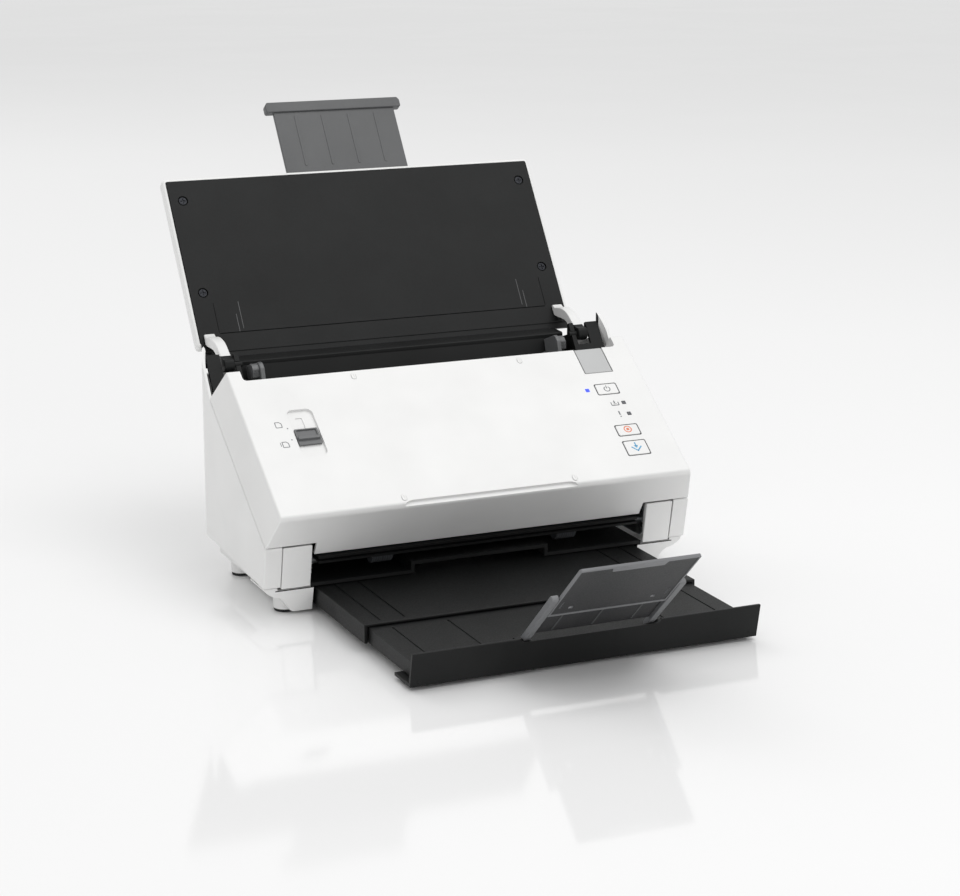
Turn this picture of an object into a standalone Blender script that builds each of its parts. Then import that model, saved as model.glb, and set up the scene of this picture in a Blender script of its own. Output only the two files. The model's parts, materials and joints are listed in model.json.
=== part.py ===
"""Sheet fed document scanner with its trays open, ready to scan.

X runs along the width, -Y is the front, +Z is up. The lengths below are in millimetres in the design
frame, whose Y and Z are zero at the front edge of the cover and on the desk. ROOT moves them to the
model's origin, which is the middle of the whole object's footprint.
"""

import math

import bmesh
import bpy
from mathutils import Matrix, Vector

for leftover in list(bpy.data.objects):
    bpy.data.objects.remove(leftover)

MM = 0.001
ORIGIN_Y = 28.13         # design Y of the model's origin
GAP = 0.3                # running clearance between two pieces
WALL = 2.2               # moulded wall

# casing
HALF_W = 148.5           # half the width at the seam between cover and base
SLOPE_HALF_W = 142.4     # half the width at the edge of the sloping top
SLOPE = 35.2             # degrees, the sloping top
SLOPE_Y, SLOPE_Z = -9.2, 73.6        # a point on the sloping top, s = 0
TOP_S = 109.5            # distance up the slope to its rear edge
SEAM_DEPTH = 26.6        # the cover's side below the slope
ARM_IN, ARM_OUT = 117.2, 136.8       # the cover's two hinge arms
REAR_Y = 139.8
REAR_R = 24.0            # the base's rounded rear corners
DECK_Z = 18.2            # underside of the base over the output tray
SKIRT_IN, SKIRT_OUT = 114.5, 140.0

# hinges
COVER_AXIS = (9.5, 30.0)
TRAY_AXIS = (124.4, 137.9)
STOPPER_AXIS = (-146.3, 19.5)
STOPPER_LEAN = 47.5      # degrees forward of upright

# input tray
TRAY_Y, TRAY_Z = 160.1, 143.8        # lower edge of the tray's face, s = 0
TRAY_ANGLE = 55.1
TRAY_LENGTH = 126.2
TRAY_HALF_W = 137.8
TRAY_SCREW_X, TRAY_SCREW_S = 126.3, (108.7, 39.3)

# paper path through the machine, from the hopper to the exit
PATH = [(137.4, 134.0), (121.0, 90.0), (110.0, 76.0), (90.0, 60.0), (60.0, 48.5), (30.0, 41.0),
        (4.0, 35.5)]
PATH_GAP = 1.6           # between the two guides
GUIDE_T = 1.6            # guide plate
GUIDE_HALF_W = 112.0
SCAN_LEG = 4             # the leg of the path that both scanning units look at
SCAN_SHARE = {"lower": 0.05, "upper": 0.52}

# gears, module 1
MODULE = 1.0
GEAR_X = (-118.0, -114.4)
TEETH = {"feed": 24, "pickup": 18, "eject": 20, "transfer": 18, "pickup_idler": 20, "pinion": 10}
STUD_R, STUD_BORE = 1.5, 1.8
MOTOR_SHAFT_R, PINION_BORE = 1.0, 1.3

# rollers: radius of the tyres and where they sit along X
SHAFT_R = 2.5
SHAFT_END = 121.4
PICKUP_TYRES = [(-26.0, -6.0), (6.0, 26.0)]
FEED_TYRES = [(-70.0, -52.0), (-26.0, -8.0), (8.0, 26.0), (52.0, 70.0)]
EJECT_TYRES = [(-72.0, -58.0), (58.0, 72.0)]
DRIVEN_ROLLERS = {"pickup_roller": (9.0, PICKUP_TYRES), "feed_roller": (6.4, FEED_TYRES),
                  "eject_roller": (6.4, EJECT_TYRES)}

# buttons on the sloping top: s0, s1, x0, x1 of the opening around each
BUTTON_GAP = 0.35
BUTTONS = {"power_button": (67.2, 77.0, 103.7, 120.0), "stop_button": (30.0, 39.8, 103.9, 120.7),
           "start_button": (12.8, 25.7, 103.9, 120.7)}
# lamps: s and x of the middle, and the colour
LAMPS = {"power_led": (72.5, 97.5, "led_blue"), "ready_led": (58.9, 119.1, "led_dark"),
         "error_led": (49.0, 119.1, "led_dark")}
LAMP_HALF = 1.1

COLLECTION = bpy.data.collections.new("sheet_fed_document_scanner")
CUTTERS = bpy.data.collections.new("cutters")
ROOT = bpy.data.objects.new("scanner_origin", None)      # every piece hangs from this
TURN_YZ = Matrix(((0, 0, 1), (1, 0, 0), (0, 1, 0)))      # outline (y, z) extruded along X
TURN_XZ = Matrix(((1, 0, 0), (0, 0, -1), (0, 1, 0)))     # outline (x, z) extruded along Y
TURN_XY = Matrix.Identity(3)                             # outline (x, y) extruded along Z

MATERIALS = {
    "white_abs": ((0.83, 0.83, 0.82), 0.45, 0.0),
    "black_abs": ((0.035, 0.035, 0.037), 0.55, 0.0),
    "dark_grey_abs": ((0.09, 0.09, 0.095), 0.5, 0.0),
    "mid_grey_abs": ((0.22, 0.22, 0.22), 0.5, 0.0),
    "light_grey_abs": ((0.52, 0.52, 0.52), 0.45, 0.0),
    "zinc_steel": ((0.55, 0.56, 0.57), 0.4, 1.0),
    "screw_steel": ((0.05, 0.05, 0.055), 0.4, 1.0),
    "feed_rubber": ((0.12, 0.12, 0.13), 0.85, 0.0),
    "foot_rubber": ((0.03, 0.03, 0.03), 0.9, 0.0),
    "acetal": ((0.75, 0.74, 0.70), 0.35, 0.0),
    "float_glass": ((0.75, 0.82, 0.80), 0.05, 0.0),
    "circuit_board": ((0.03, 0.2, 0.08), 0.5, 0.0),
    "led_blue": ((0.08, 0.15, 0.85), 0.3, 0.0),
    "led_dark": ((0.05, 0.05, 0.05), 0.3, 0.0),
}


def material(name):
    """The named material, made the first time it is asked for."""
    found = bpy.data.materials.get(name)
    if found:
        return found
    colour, roughness, metallic = MATERIALS[name]
    made = bpy.data.materials.new(name)
    made.use_nodes = True
    shader = made.node_tree.nodes["Principled BSDF"]
    shader.inputs["Base Color"].default_value = (*colour, 1.0)
    shader.inputs["Roughness"].default_value = roughness
    shader.inputs["Metallic"].default_value = metallic
    return made


def on_slope(s, d=0.0):
    """(y, z) of a point s up the sloping top and d below its surface."""
    a = math.radians(SLOPE)
    return (SLOPE_Y + s * math.cos(a) + d * math.sin(a), SLOPE_Z + s * math.sin(a) - d * math.cos(a))


def on_tray(s, v=0.0):
    """(y, z) of a point s up the input tray and v in front of its face."""
    a = math.radians(TRAY_ANGLE)
    return (TRAY_Y + s * math.cos(a) - v * math.sin(a), TRAY_Z + s * math.sin(a) + v * math.cos(a))


def on_stopper(s, v=0.0):
    """(y, z) of a point s up the raised stopper from its hinge and v in front of its middle plane."""
    a = math.radians(STOPPER_LEAN)
    y, z = STOPPER_AXIS
    return (y - s * math.sin(a) - v * math.cos(a), z + s * math.cos(a) - v * math.sin(a))


def strip(place, s0, s1, v0, v1):
    """The outline of a straight plate from s0 to s1 and from v0 to v1 in one of the frames above."""
    return [place(s0, v0), place(s1, v0), place(s1, v1), place(s0, v1)]


def add(name, mesh, finish=None):
    """An object in the scanner's collection, or a cutter when it has no finish."""
    obj = bpy.data.objects.new(name, mesh)
    obj.parent = ROOT
    if finish:
        mesh.materials.append(material(finish))
        COLLECTION.objects.link(obj)
    else:
        CUTTERS.objects.link(obj)
        obj.hide_render = True
        obj.display_type = "WIRE"
    return obj


def outlined(name, outline, low, high, finish=None, turn=TURN_YZ):
    """A flat outline extruded from low to high along the axis that it doesn't lie in."""
    curve = bpy.data.curves.new(name, "CURVE")
    curve.dimensions = "2D"
    curve.fill_mode = "BOTH"
    curve.extrude = abs(high - low) / 2 * MM
    spline = curve.splines.new("POLY")
    spline.points.add(len(outline) - 1)
    for point, (u, v) in zip(spline.points, outline):
        point.co = (u * MM, v * MM, 0, 1)
    spline.use_cyclic_u = True
    guide = bpy.data.objects.new(name + "_outline", curve)
    bpy.context.scene.collection.objects.link(guide)
    bpy.context.view_layer.update()
    mesh = bpy.data.meshes.new_from_object(guide.evaluated_get(bpy.context.evaluated_depsgraph_get()))
    bpy.data.objects.remove(guide)
    bpy.data.curves.remove(curve)
    normal = Vector(turn.col[2])
    mesh.transform(Matrix.Translation(normal * (low + high) / 2 * MM) @ turn.to_4x4())
    weld(mesh)
    mesh.name = name
    return add(name, mesh, finish)


def weld(mesh):
    bm = bmesh.new()
    bm.from_mesh(mesh)
    bmesh.ops.remove_doubles(bm, verts=bm.verts, dist=1e-6)
    bmesh.ops.recalc_face_normals(bm, faces=bm.faces)
    bm.to_mesh(mesh)
    bm.free()


def box(name, low, high, finish=None):
    """A box between two corners (x, y, z)."""
    mesh = bpy.data.meshes.new(name)
    bm = bmesh.new()
    bmesh.ops.create_cube(bm, size=1.0)
    size = [(b - a) * MM for a, b in zip(low, high)]
    middle = [(b + a) / 2 * MM for a, b in zip(low, high)]
    bmesh.ops.scale(bm, vec=size, verts=bm.verts)
    bmesh.ops.translate(bm, vec=middle, verts=bm.verts)
    bm.to_mesh(mesh)
    bm.free()
    return add(name, mesh, finish)


def rod(name, centre, radius, low, high, finish=None, sides=16):
    """A round rod along X about (y, z)."""
    mesh = bpy.data.meshes.new(name)
    bm = bmesh.new()
    bmesh.ops.create_cone(bm, cap_ends=True, segments=sides, radius1=radius * MM, radius2=radius * MM,
                          depth=(high - low) * MM)
    place = Matrix.Translation(Vector(((low + high) / 2, *centre)) * MM) @ Matrix.Rotation(math.pi / 2, 4, "Y")
    bmesh.ops.transform(bm, matrix=place, verts=bm.verts)
    bm.to_mesh(mesh)
    bm.free()
    return add(name, mesh, finish)


def post(name, foot, axis, radius, height, finish=None, sides=16, top_radius=None):
    """A round post from foot (x, y, z) along a direction."""
    mesh = bpy.data.meshes.new(name)
    bm = bmesh.new()
    top = radius if top_radius is None else top_radius
    bmesh.ops.create_cone(bm, cap_ends=True, segments=sides, radius1=radius * MM, radius2=top * MM,
                          depth=height * MM)
    axis = Vector(axis).normalized()
    turn = Vector((0, 0, 1)).rotation_difference(axis).to_matrix().to_4x4()
    middle = (Vector(foot) + axis * height / 2) * MM
    bmesh.ops.transform(bm, matrix=Matrix.Translation(middle) @ turn, verts=bm.verts)
    bm.to_mesh(mesh)
    bm.free()
    return add(name, mesh, finish)


def combine(obj, operation, others):
    for other in others:
        step = obj.modifiers.new(operation.lower() + "_" + other.name, "BOOLEAN")
        step.operation = operation
        step.object = other
    return obj


def join(obj, *others):
    return combine(obj, "UNION", others)


def cut(obj, *others):
    return combine(obj, "DIFFERENCE", others)


def keep(obj, *others):
    return combine(obj, "INTERSECT", others)


def ends(side, near, far):
    """The X limits, low then high, of a piece on the left (side -1) or on the right (side 1)."""
    return sorted((side * near, side * far))


def box_beside(name, side, x_limits, y_limits, z_limits):
    """A box on one side. Its X limits are given for the right side."""
    (x0, x1), (y0, y1), (z0, z1) = ends(side, *x_limits), y_limits, z_limits
    return box(name, (x0, y0, z0), (x1, y1, z1))


def taper_cover(mesh):
    """Leans the cover's two sides in towards the top, from the seam to the edge of the slope."""
    a = math.radians(SLOPE)
    for vertex in mesh.vertices:
        y, z = vertex.co.y / MM - SLOPE_Y, vertex.co.z / MM - SLOPE_Z
        depth = y * math.sin(a) - z * math.cos(a)
        share = min(max(1 - depth / SEAM_DEPTH, 0.0), 1.0)
        vertex.co.x *= 1 - share * (1 - SLOPE_HALF_W / HALF_W)


# ---------------------------------------------------------------- base


def base_outline():
    """(y, z) of the base's side, from the front bottom round to the rear bottom."""
    return [(5.6, 20.2), (0.0, 47.2), (105.9, 120.6), (126.0, 148.4), (128.6, 150.4), (133.0, 150.6),
            (136.6, 147.6), (139.2, 139.0), (REAR_Y, 130.0), (138.4, 100.0), (135.4, 64.0), (132.4, 38.0),
            (127.0, 28.5), (118.0, 25.6), (95.0, 25.0)]


def plan_cutter(name, inset):
    """The base's outline seen from above, with its two rounded rear corners."""
    points = [(-HALF_W + inset, -30.0)]
    centre_x, centre_y, radius = HALF_W - REAR_R, REAR_Y - REAR_R, REAR_R - inset
    for side, start in ((-1, 180.0), (1, 90.0)):
        for step in range(9):
            a = math.radians(start - step * 90 / 8)
            points.append((side * centre_x + radius * math.cos(a), centre_y + radius * math.sin(a)))
    points.append((HALF_W - inset, -30.0))
    return outlined(name, points, 0, 200, turn=TURN_XY)


def side_cover(name, side, outer_plan, inner_plan):
    cover = outlined(name, base_outline(), *ends(side, 123.6, HALF_W), "white_abs")
    keep(cover, outer_plan)
    hollow = outlined(name + "_hollow", [(8.2, 22.4), (2.6, 44.0), (-4.0, 60.0), (90.0, 125.0), (112.0, 160.0),
                                         (128.0, 146.4), (132.6, 147.6), (134.6, 146.0), (137.0, 138.0),
                                         (137.6, 130.0), (136.2, 100.0), (133.2, 64.0), (130.4, 40.0),
                                         (125.6, 30.6), (117.6, 27.8), (95.0, 27.2)],
                      *ends(side, 120.0, HALF_W - WALL))
    keep(hollow, inner_plan)
    return cut(cover, hollow,
               box_beside(name + "_shoulder_cut", side, (110, 143.6), (100, 160), (132, 170)),
               box_beside(name + "_arm_well", side, (110, ARM_OUT + 0.4), (-10, 24), (10, 60)),
               box_beside(name + "_skirt_well", side, (110, SKIRT_OUT + GAP), (-10, 94), (10, 24)))


def bottom_cover():
    """The plate over the output tray, with a foot skirt down each side."""
    half = [(46.0, 24.0), (46.0, DECK_Z), (SKIRT_IN, DECK_Z), (SKIRT_IN, 2.0), (SKIRT_OUT, 2.0),
            (SKIRT_OUT, 17.6), (137.8, 17.6), (137.8, 4.2), (116.7, 4.2), (116.7, 20.4), (48.2, 20.4), (48.2, 26.2)]
    outline = half + [(-x, z) for x, z in reversed(half)]
    cover = outlined("bottom_cover", outline, -118.0, -8.0, "white_abs", TURN_XZ)
    skirt_front = [(7.4, 17.6), (12.2, 2.0), (14.6, 2.0), (14.6, 17.6)]
    for side in (-1, 1):
        join(cover,
             outlined(f"skirt_front_{side}", skirt_front, *ends(side, SKIRT_IN + 0.01, SKIRT_OUT - 0.01)),
             box_beside(f"tray_ledge_{side}", side, (110.6, 115.5), (34, 117.9), (2.6, 4.8)))
    return cut(cover, outlined("skirt_slant", [(0, 30), (0, -4), (12.9, -4), (7.1, 17.7), (7.1, 30)], -150, 150))


def rear_cover():
    outline = [(REAR_Y - 0.3, 124.4), (138.4, 100.0), (135.4, 64.0), (132.4, 38.0), (127.0, 26.5), (118.3, 18.4),
               (118.3, 21.4), (125.4, 28.8), (130.4, 40.0), (133.2, 64.0), (136.2, 100.0), (137.2, 124.4)]
    cover = outlined("rear_cover", outline, -123.3, 123.3, "white_abs")
    usb = box("usb_cut", (-97.0, 120, 44.0), (-83.0, 150, 57.0))
    power = post("power_cut", (-64.0, 120, 50.5), (0, 1, 0), 5.4, 30)
    return cut(cover, usb, power)


def offset_path(points, distance):
    """The path moved sideways: distance is positive towards the cover."""
    moved = []
    for i, (y, z) in enumerate(points):
        before, after = points[max(i - 1, 0)], points[min(i + 1, len(points) - 1)]
        normals = []
        for (y0, z0), (y1, z1) in ((before, (y, z)), ((y, z), after)):
            length = math.hypot(y1 - y0, z1 - z0)
            if length > 0:
                normals.append(((z1 - z0) / length, -(y1 - y0) / length))
        ny = sum(n[0] for n in normals) / len(normals)
        nz = sum(n[1] for n in normals) / len(normals)
        size = ny * ny + nz * nz
        moved.append((y + ny / size * distance, z + nz / size * distance))
    return moved


def guide_outline(side, first, last):
    """A guide plate that follows the path, below it (side -1) or above it (side 1)."""
    near = offset_path(PATH, side * PATH_GAP / 2)[first:last]
    far = offset_path(PATH, side * (PATH_GAP / 2 + GUIDE_T))[first:last]
    return near + far[::-1]


def feed_table():
    """The black hopper: the sloping table, its two side walls and the two side panels."""
    (y0, z0), (y1, z1) = offset_path(PATH, -PATH_GAP / 2)[0:2]
    table = outlined("feed_table", [(y0, z0), (y1, z1), (y1 + 1.8, z1 - 0.9), (y0 + 1.8, z0 - 0.9)],
                     -123.0, 123.0, "black_abs")
    pieces = []
    panel = [(108.6, 119.0), (127.6, 145.0), (129.8, 144.0), (130.0, 136.2), (128.0, 136.2), (127.6, 141.2),
             (110.4, 117.8)]
    wall = [(y0 + 0.5, z0), (y1 + 0.5, z1), (106.0, 104.0), (108.8, 119.0), (127.7, 144.8), (130.0, 136.5)]
    for side in (-1, 1):
        pieces.append(outlined(f"hopper_wall_{side}", wall, *ends(side, 121.0, 122.99)))
        pieces.append(outlined(f"hopper_panel_{side}", panel, *ends(side, 121.01, 143.2)))
    join(table, *pieces)
    slot_low, slot_high = on_table(0.36), on_table(0.50)
    slot = outlined("guide_slot", [(slot_low[0] - 6, slot_low[1] + 3), (slot_low[0] + 6, slot_low[1] - 3),
                                   (slot_high[0] + 6, slot_high[1] - 3), (slot_high[0] - 6, slot_high[1] + 3)],
                    -119.0, 119.0)
    rooms = [rod("pickup_gear_room", PICKUP_AXIS, radius_of("pickup") + 4.0, -119.0, -113.4, sides=24)]
    for side in (-1, 1):
        rooms.append(rod(f"arm_slot_{side}", TRAY_AXIS, 9.0, *ends(side, 124.2, 134.0), sides=24))
        rooms.append(rod(f"pin_hole_{side}", TRAY_AXIS, 2.0 + GAP, *ends(side, 118.0, 124.5)))
    return cut(table, slot, *rooms)


def on_table(share, v=0.0):
    """(y, z) of a point at this share of the hopper table's length down from its top, v above it."""
    (y0, z0), (y1, z1) = offset_path(PATH, -PATH_GAP / 2)[0:2]
    length = math.hypot(y1 - y0, z1 - z0)
    ny, nz = (z1 - z0) / length, -(y1 - y0) / length
    return (y0 + (y1 - y0) * share + ny * v, z0 + (z1 - z0) * share + nz * v)


def around(centre, radius, degrees):
    """The point at this distance and in this direction from a centre."""
    a = math.radians(degrees)
    return (centre[0] + radius * math.cos(a), centre[1] + radius * math.sin(a))


def path_point(leg, share, distance):
    """(y, z) on one leg of the path, moved towards the cover by distance, and the leg's direction."""
    (ya, za), (yb, zb) = PATH[leg], PATH[leg + 1]
    length = math.hypot(yb - ya, zb - za)
    ty, tz = (yb - ya) / length, (zb - za) / length
    y, z = ya + (yb - ya) * share, za + (zb - za) * share
    return (y + tz * distance, z - ty * distance), (ty, tz)


def on_leg(leg, share, corners):
    """Corners given as (along, towards the cover) from a point on one leg of the path, as (y, z)."""
    (y, z), (ty, tz) = path_point(leg, share, 0.0)
    return [(y + ty * a + tz * b, z + tz * a - ty * b) for a, b in corners]


def involute_gear(teeth, phase):
    """(y, z) outline of a spur gear about (0, 0) with a tooth centred at the angle phase."""
    pitch, base_angle = teeth * MODULE / 2, math.radians(22.5)
    base = pitch * math.cos(base_angle)
    root, tip = pitch - 1.1 * MODULE, pitch + 0.8 * MODULE
    half = (math.pi / 2 - 0.16) / teeth

    def flank(radius):
        reach = max(radius, base)
        roll = math.sqrt((reach / base) ** 2 - 1)
        pitch_roll = math.sqrt((pitch / base) ** 2 - 1)
        return half - ((roll - math.atan(roll)) - (pitch_roll - math.atan(pitch_roll)))

    points = []
    for tooth in range(teeth):
        middle = phase + tooth * 2 * math.pi / teeth
        for side in (-1, 1):
            rings = (root, (pitch + max(root, base)) / 2, tip)
            for radius in rings if side < 0 else rings[::-1]:
                a = middle + side * flank(radius)
                points.append((radius * math.cos(a), radius * math.sin(a)))
    return points


def meshed_phase(centre_a, teeth_a, phase_a, centre_b, teeth_b):
    """The phase that puts gear b in mesh with gear a."""
    toward = math.atan2(centre_b[1] - centre_a[1], centre_b[0] - centre_a[0])
    share = ((toward - phase_a) * teeth_a / (2 * math.pi)) % 1
    return toward + math.pi - (0.5 - share) * 2 * math.pi / teeth_b


def third_point(a, b, from_a, from_b, side):
    """The point at these distances from a and b, on one side of the line between them."""
    reach = math.hypot(b[0] - a[0], b[1] - a[1])
    along = (from_a ** 2 - from_b ** 2 + reach ** 2) / (2 * reach)
    off = side * math.sqrt(from_a ** 2 - along ** 2)
    ux, uy = (b[0] - a[0]) / reach, (b[1] - a[1]) / reach
    return (a[0] + ux * along - uy * off, a[1] + uy * along + ux * off)


def radius_of(kind):
    return TEETH[kind] * MODULE / 2


PICKUP_AXIS = path_point(1, 0.5, -9.9)[0]
SEPARATION_AXIS = path_point(1, 0.5, 9.4)[0]
FEED_AXIS = path_point(3, 0.03, -7.2)[0]
FEED_IDLER_AXIS = path_point(3, 0.03, 6.3)[0]
EJECT_AXIS = path_point(5, 0.45, -7.2)[0]
EJECT_IDLER_AXIS = path_point(5, 0.45, 5.3)[0]
PICKUP_IDLER_AXIS = third_point(FEED_AXIS, PICKUP_AXIS, radius_of("feed") + radius_of("pickup_idler"),
                                radius_of("pickup") + radius_of("pickup_idler"), -1)
# Three transfer gears zig-zag between the feed roller and the eject roller.
TRANSFER_PITCH = 2 * radius_of("transfer")
TO_EJECT = radius_of("transfer") + radius_of("eject")
TRANSFER_A_AXIS = third_point(FEED_AXIS, EJECT_AXIS, radius_of("feed") + radius_of("transfer"),
                              2 * TRANSFER_PITCH + TO_EJECT - 0.6, -1)
TRANSFER_B_AXIS = third_point(TRANSFER_A_AXIS, EJECT_AXIS, TRANSFER_PITCH, TRANSFER_PITCH + TO_EJECT - 0.4, 1)
TRANSFER_C_AXIS = third_point(TRANSFER_B_AXIS, EJECT_AXIS, TRANSFER_PITCH, TO_EJECT, -1)
MOTOR_AXIS = around(TRANSFER_A_AXIS, radius_of("transfer") + radius_of("pinion"), -54.0)
STUD_AXES = (PICKUP_IDLER_AXIS, TRANSFER_A_AXIS, TRANSFER_B_AXIS, TRANSFER_C_AXIS)


def gear_blank(name, axis, teeth, phase, finish=None):
    outline = [(axis[0] + y, axis[1] + z) for y, z in involute_gear(teeth, phase)]
    return outlined(name, outline, *GEAR_X, finish)


def roller(name, axis, radius, low, high, tyres):
    """A shaft with its rubber tyres, in one piece. tyres are (low, high) pairs along X."""
    shaft = rod(name, axis, SHAFT_R, low, high, "feed_rubber", sides=12)
    return join(shaft, *[rod(f"{name}_tyre_{i}", axis, radius, a, b, sides=24) for i, (a, b) in enumerate(tyres)])


def drive():
    """The motor's pinion turns the first transfer gear, which turns the feed roller on one side of it and, through
    two more transfer gears, the eject roller on the other. One gear joins the feed and pickup rollers. All three
    rollers turn the same way."""
    train = (("feed_roller", "feed", FEED_AXIS, None),
             ("pickup_idler_gear", "pickup_idler", PICKUP_IDLER_AXIS, "feed_roller"),
             ("pickup_roller", "pickup", PICKUP_AXIS, "pickup_idler_gear"),
             ("transfer_gear_a", "transfer", TRANSFER_A_AXIS, "feed_roller"),
             ("transfer_gear_b", "transfer", TRANSFER_B_AXIS, "transfer_gear_a"),
             ("transfer_gear_c", "transfer", TRANSFER_C_AXIS, "transfer_gear_b"),
             ("eject_roller", "eject", EJECT_AXIS, "transfer_gear_c"),
             ("motor_pinion", "pinion", MOTOR_AXIS, "transfer_gear_a"))
    placed = {}
    for name, kind, axis, neighbour in train:
        phase = meshed_phase(*placed[neighbour], axis, TEETH[kind]) if neighbour else 0.0
        placed[name] = (axis, TEETH[kind], phase)
        if name in DRIVEN_ROLLERS:
            radius, tyres = DRIVEN_ROLLERS[name]
            wheel = gear_blank(name + "_gear", axis, TEETH[kind], phase)
            join(roller(name, axis, radius, -SHAFT_END, SHAFT_END, tyres), wheel)
        else:
            bore = PINION_BORE if kind == "pinion" else STUD_BORE
            wheel = gear_blank(name, axis, TEETH[kind], phase, "acetal")
            cut(wheel, rod(name + "_bore", axis, bore, GEAR_X[0] - 1, GEAR_X[1] + 1, sides=12))
    motor = rod("drive_motor", MOTOR_AXIS, 10.0, -111.6, -84.0, "zinc_steel", sides=24)
    join(motor, rod("motor_shaft", MOTOR_AXIS, MOTOR_SHAFT_R, -117.6, -111.0, sides=12))


def frame_plates():
    """Two pressed steel side plates that carry the rollers."""
    outline = [(14.2, 22.0), (116.4, 22.0), (123.4, 31.0), (128.4, 42.0), (131.4, 66.0), (130.6, 84.0),
               (114.0, 84.0), (96.0, 66.0), (70.0, 54.0), (40.0, 46.0), (12.4, 42.0), (6.8, 33.4), (6.3, 29.6),
               (7.2, 27.6)]
    for name, low, high in (("left_frame_plate", -120.8, -119.2), ("right_frame_plate", 119.2, 120.8)):
        plate = outlined(name, outline, low, high, "zinc_steel")
        holes = [rod(f"{name}_hole_{i}", centre, SHAFT_R + GAP, low - 2, high + 2, sides=12)
                 for i, centre in enumerate((PICKUP_AXIS, FEED_AXIS, EJECT_AXIS))]
        holes.append(rod(name + "_hinge_hole", COVER_AXIS, 2.0 + GAP, low - 2, high + 2, sides=12))
        cut(plate, *holes)
        if low < 0:
            join(plate, *[rod(f"gear_stud_{i}", centre, STUD_R, -119.8, -114.0, sides=12)
                          for i, centre in enumerate(STUD_AXES)])


def guides():
    """The two plates that the sheet passes between, with windows for the tyres and the scanning glass."""
    windows = (((-28, -4), (4, 28)), ((-72, -50), (-28, -6), (6, 28), (50, 72)), ((-74, -56), (56, 74)))
    for name, side, axes in (("lower", -1, (PICKUP_AXIS, FEED_AXIS, EJECT_AXIS)),
                             ("upper", 1, (SEPARATION_AXIS, FEED_IDLER_AXIS, EJECT_IDLER_AXIS))):
        guide = outlined(name + "_paper_guide", guide_outline(side, 1, 7), -GUIDE_HALF_W, GUIDE_HALF_W, "black_abs")
        for centre, radius, spans in zip(axes, (10.6, 7.6, 7.6), windows):
            cut(guide, *[rod(f"{name}_window", centre, radius, low, high) for low, high in spans])
        window = on_leg(SCAN_LEG, SCAN_SHARE[name], [(0.0, -3.0 * side), (16.0, -3.0 * side), (16.0, 13.0 * side),
                                                     (0.0, 13.0 * side)])
        cut(guide, outlined(name + "_glass_window", window, -110.4, 110.4))


def scan_units():
    """Two contact image sensors, one on each side of the path, each with its glass."""
    for name, side in (("lower", -1), ("upper", 1)):
        for part, near, far, finish in (("unit", 2.6, 12.4, "black_abs"), ("glass", 0.9, 2.3, "float_glass")):
            outline = on_leg(SCAN_LEG, SCAN_SHARE[name], [(0.4, side * near), (15.6, side * near),
                                                          (15.6, side * far), (0.4, side * far)])
            outlined(f"{name}_scan_{part}", outline, -110.0, 110.0, finish)


def rear_parts():
    box("main_board", (-100.0, 124.0, 36.0), (60.0, 125.6, 62.0), "circuit_board")
    usb = box("usb_socket", (-96.0, 125.9, 44.6), (-84.0, 134.4, 56.2), "zinc_steel")
    cut(usb, box("usb_mouth", (-94.8, 128.0, 45.8), (-85.2, 140.0, 55.0)))
    power = post("power_socket", (-64.0, 125.9, 50.5), (0, 1, 0), 5.0, 8.0, "black_abs")
    cut(power, post("power_mouth", (-64.0, 127.5, 50.5), (0, 1, 0), 3.2, 20))


def feet():
    spots = [(-128.0, 24.0), (128.0, 24.0), (-128.0, 108.0), (128.0, 108.0)]
    for number, (x, y) in enumerate(spots, 1):
        post(f"rubber_foot_{number}", (x, y, 0.0), (0, 0, 1), 7.0, 1.8, "foot_rubber", sides=24)


# ---------------------------------------------------------------- cover


def slope_prism(name, s0, s1, x0, x1, d0, d1, finish=None):
    """A block on the sloping top, from s0 to s1, x0 to x1 and d0 to d1 below the surface."""
    return outlined(name, strip(on_slope, s0, s1, d0, d1), x0, x1, finish)


def around_button(s0, s1, x0, x1, gap, d0, d1, name, finish=None):
    """A block in a button's opening, smaller than the opening by gap on each side."""
    return slope_prism(name, s0 + gap, s1 - gap, x0 + gap, x1 - gap, d0, d1, finish)


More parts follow.
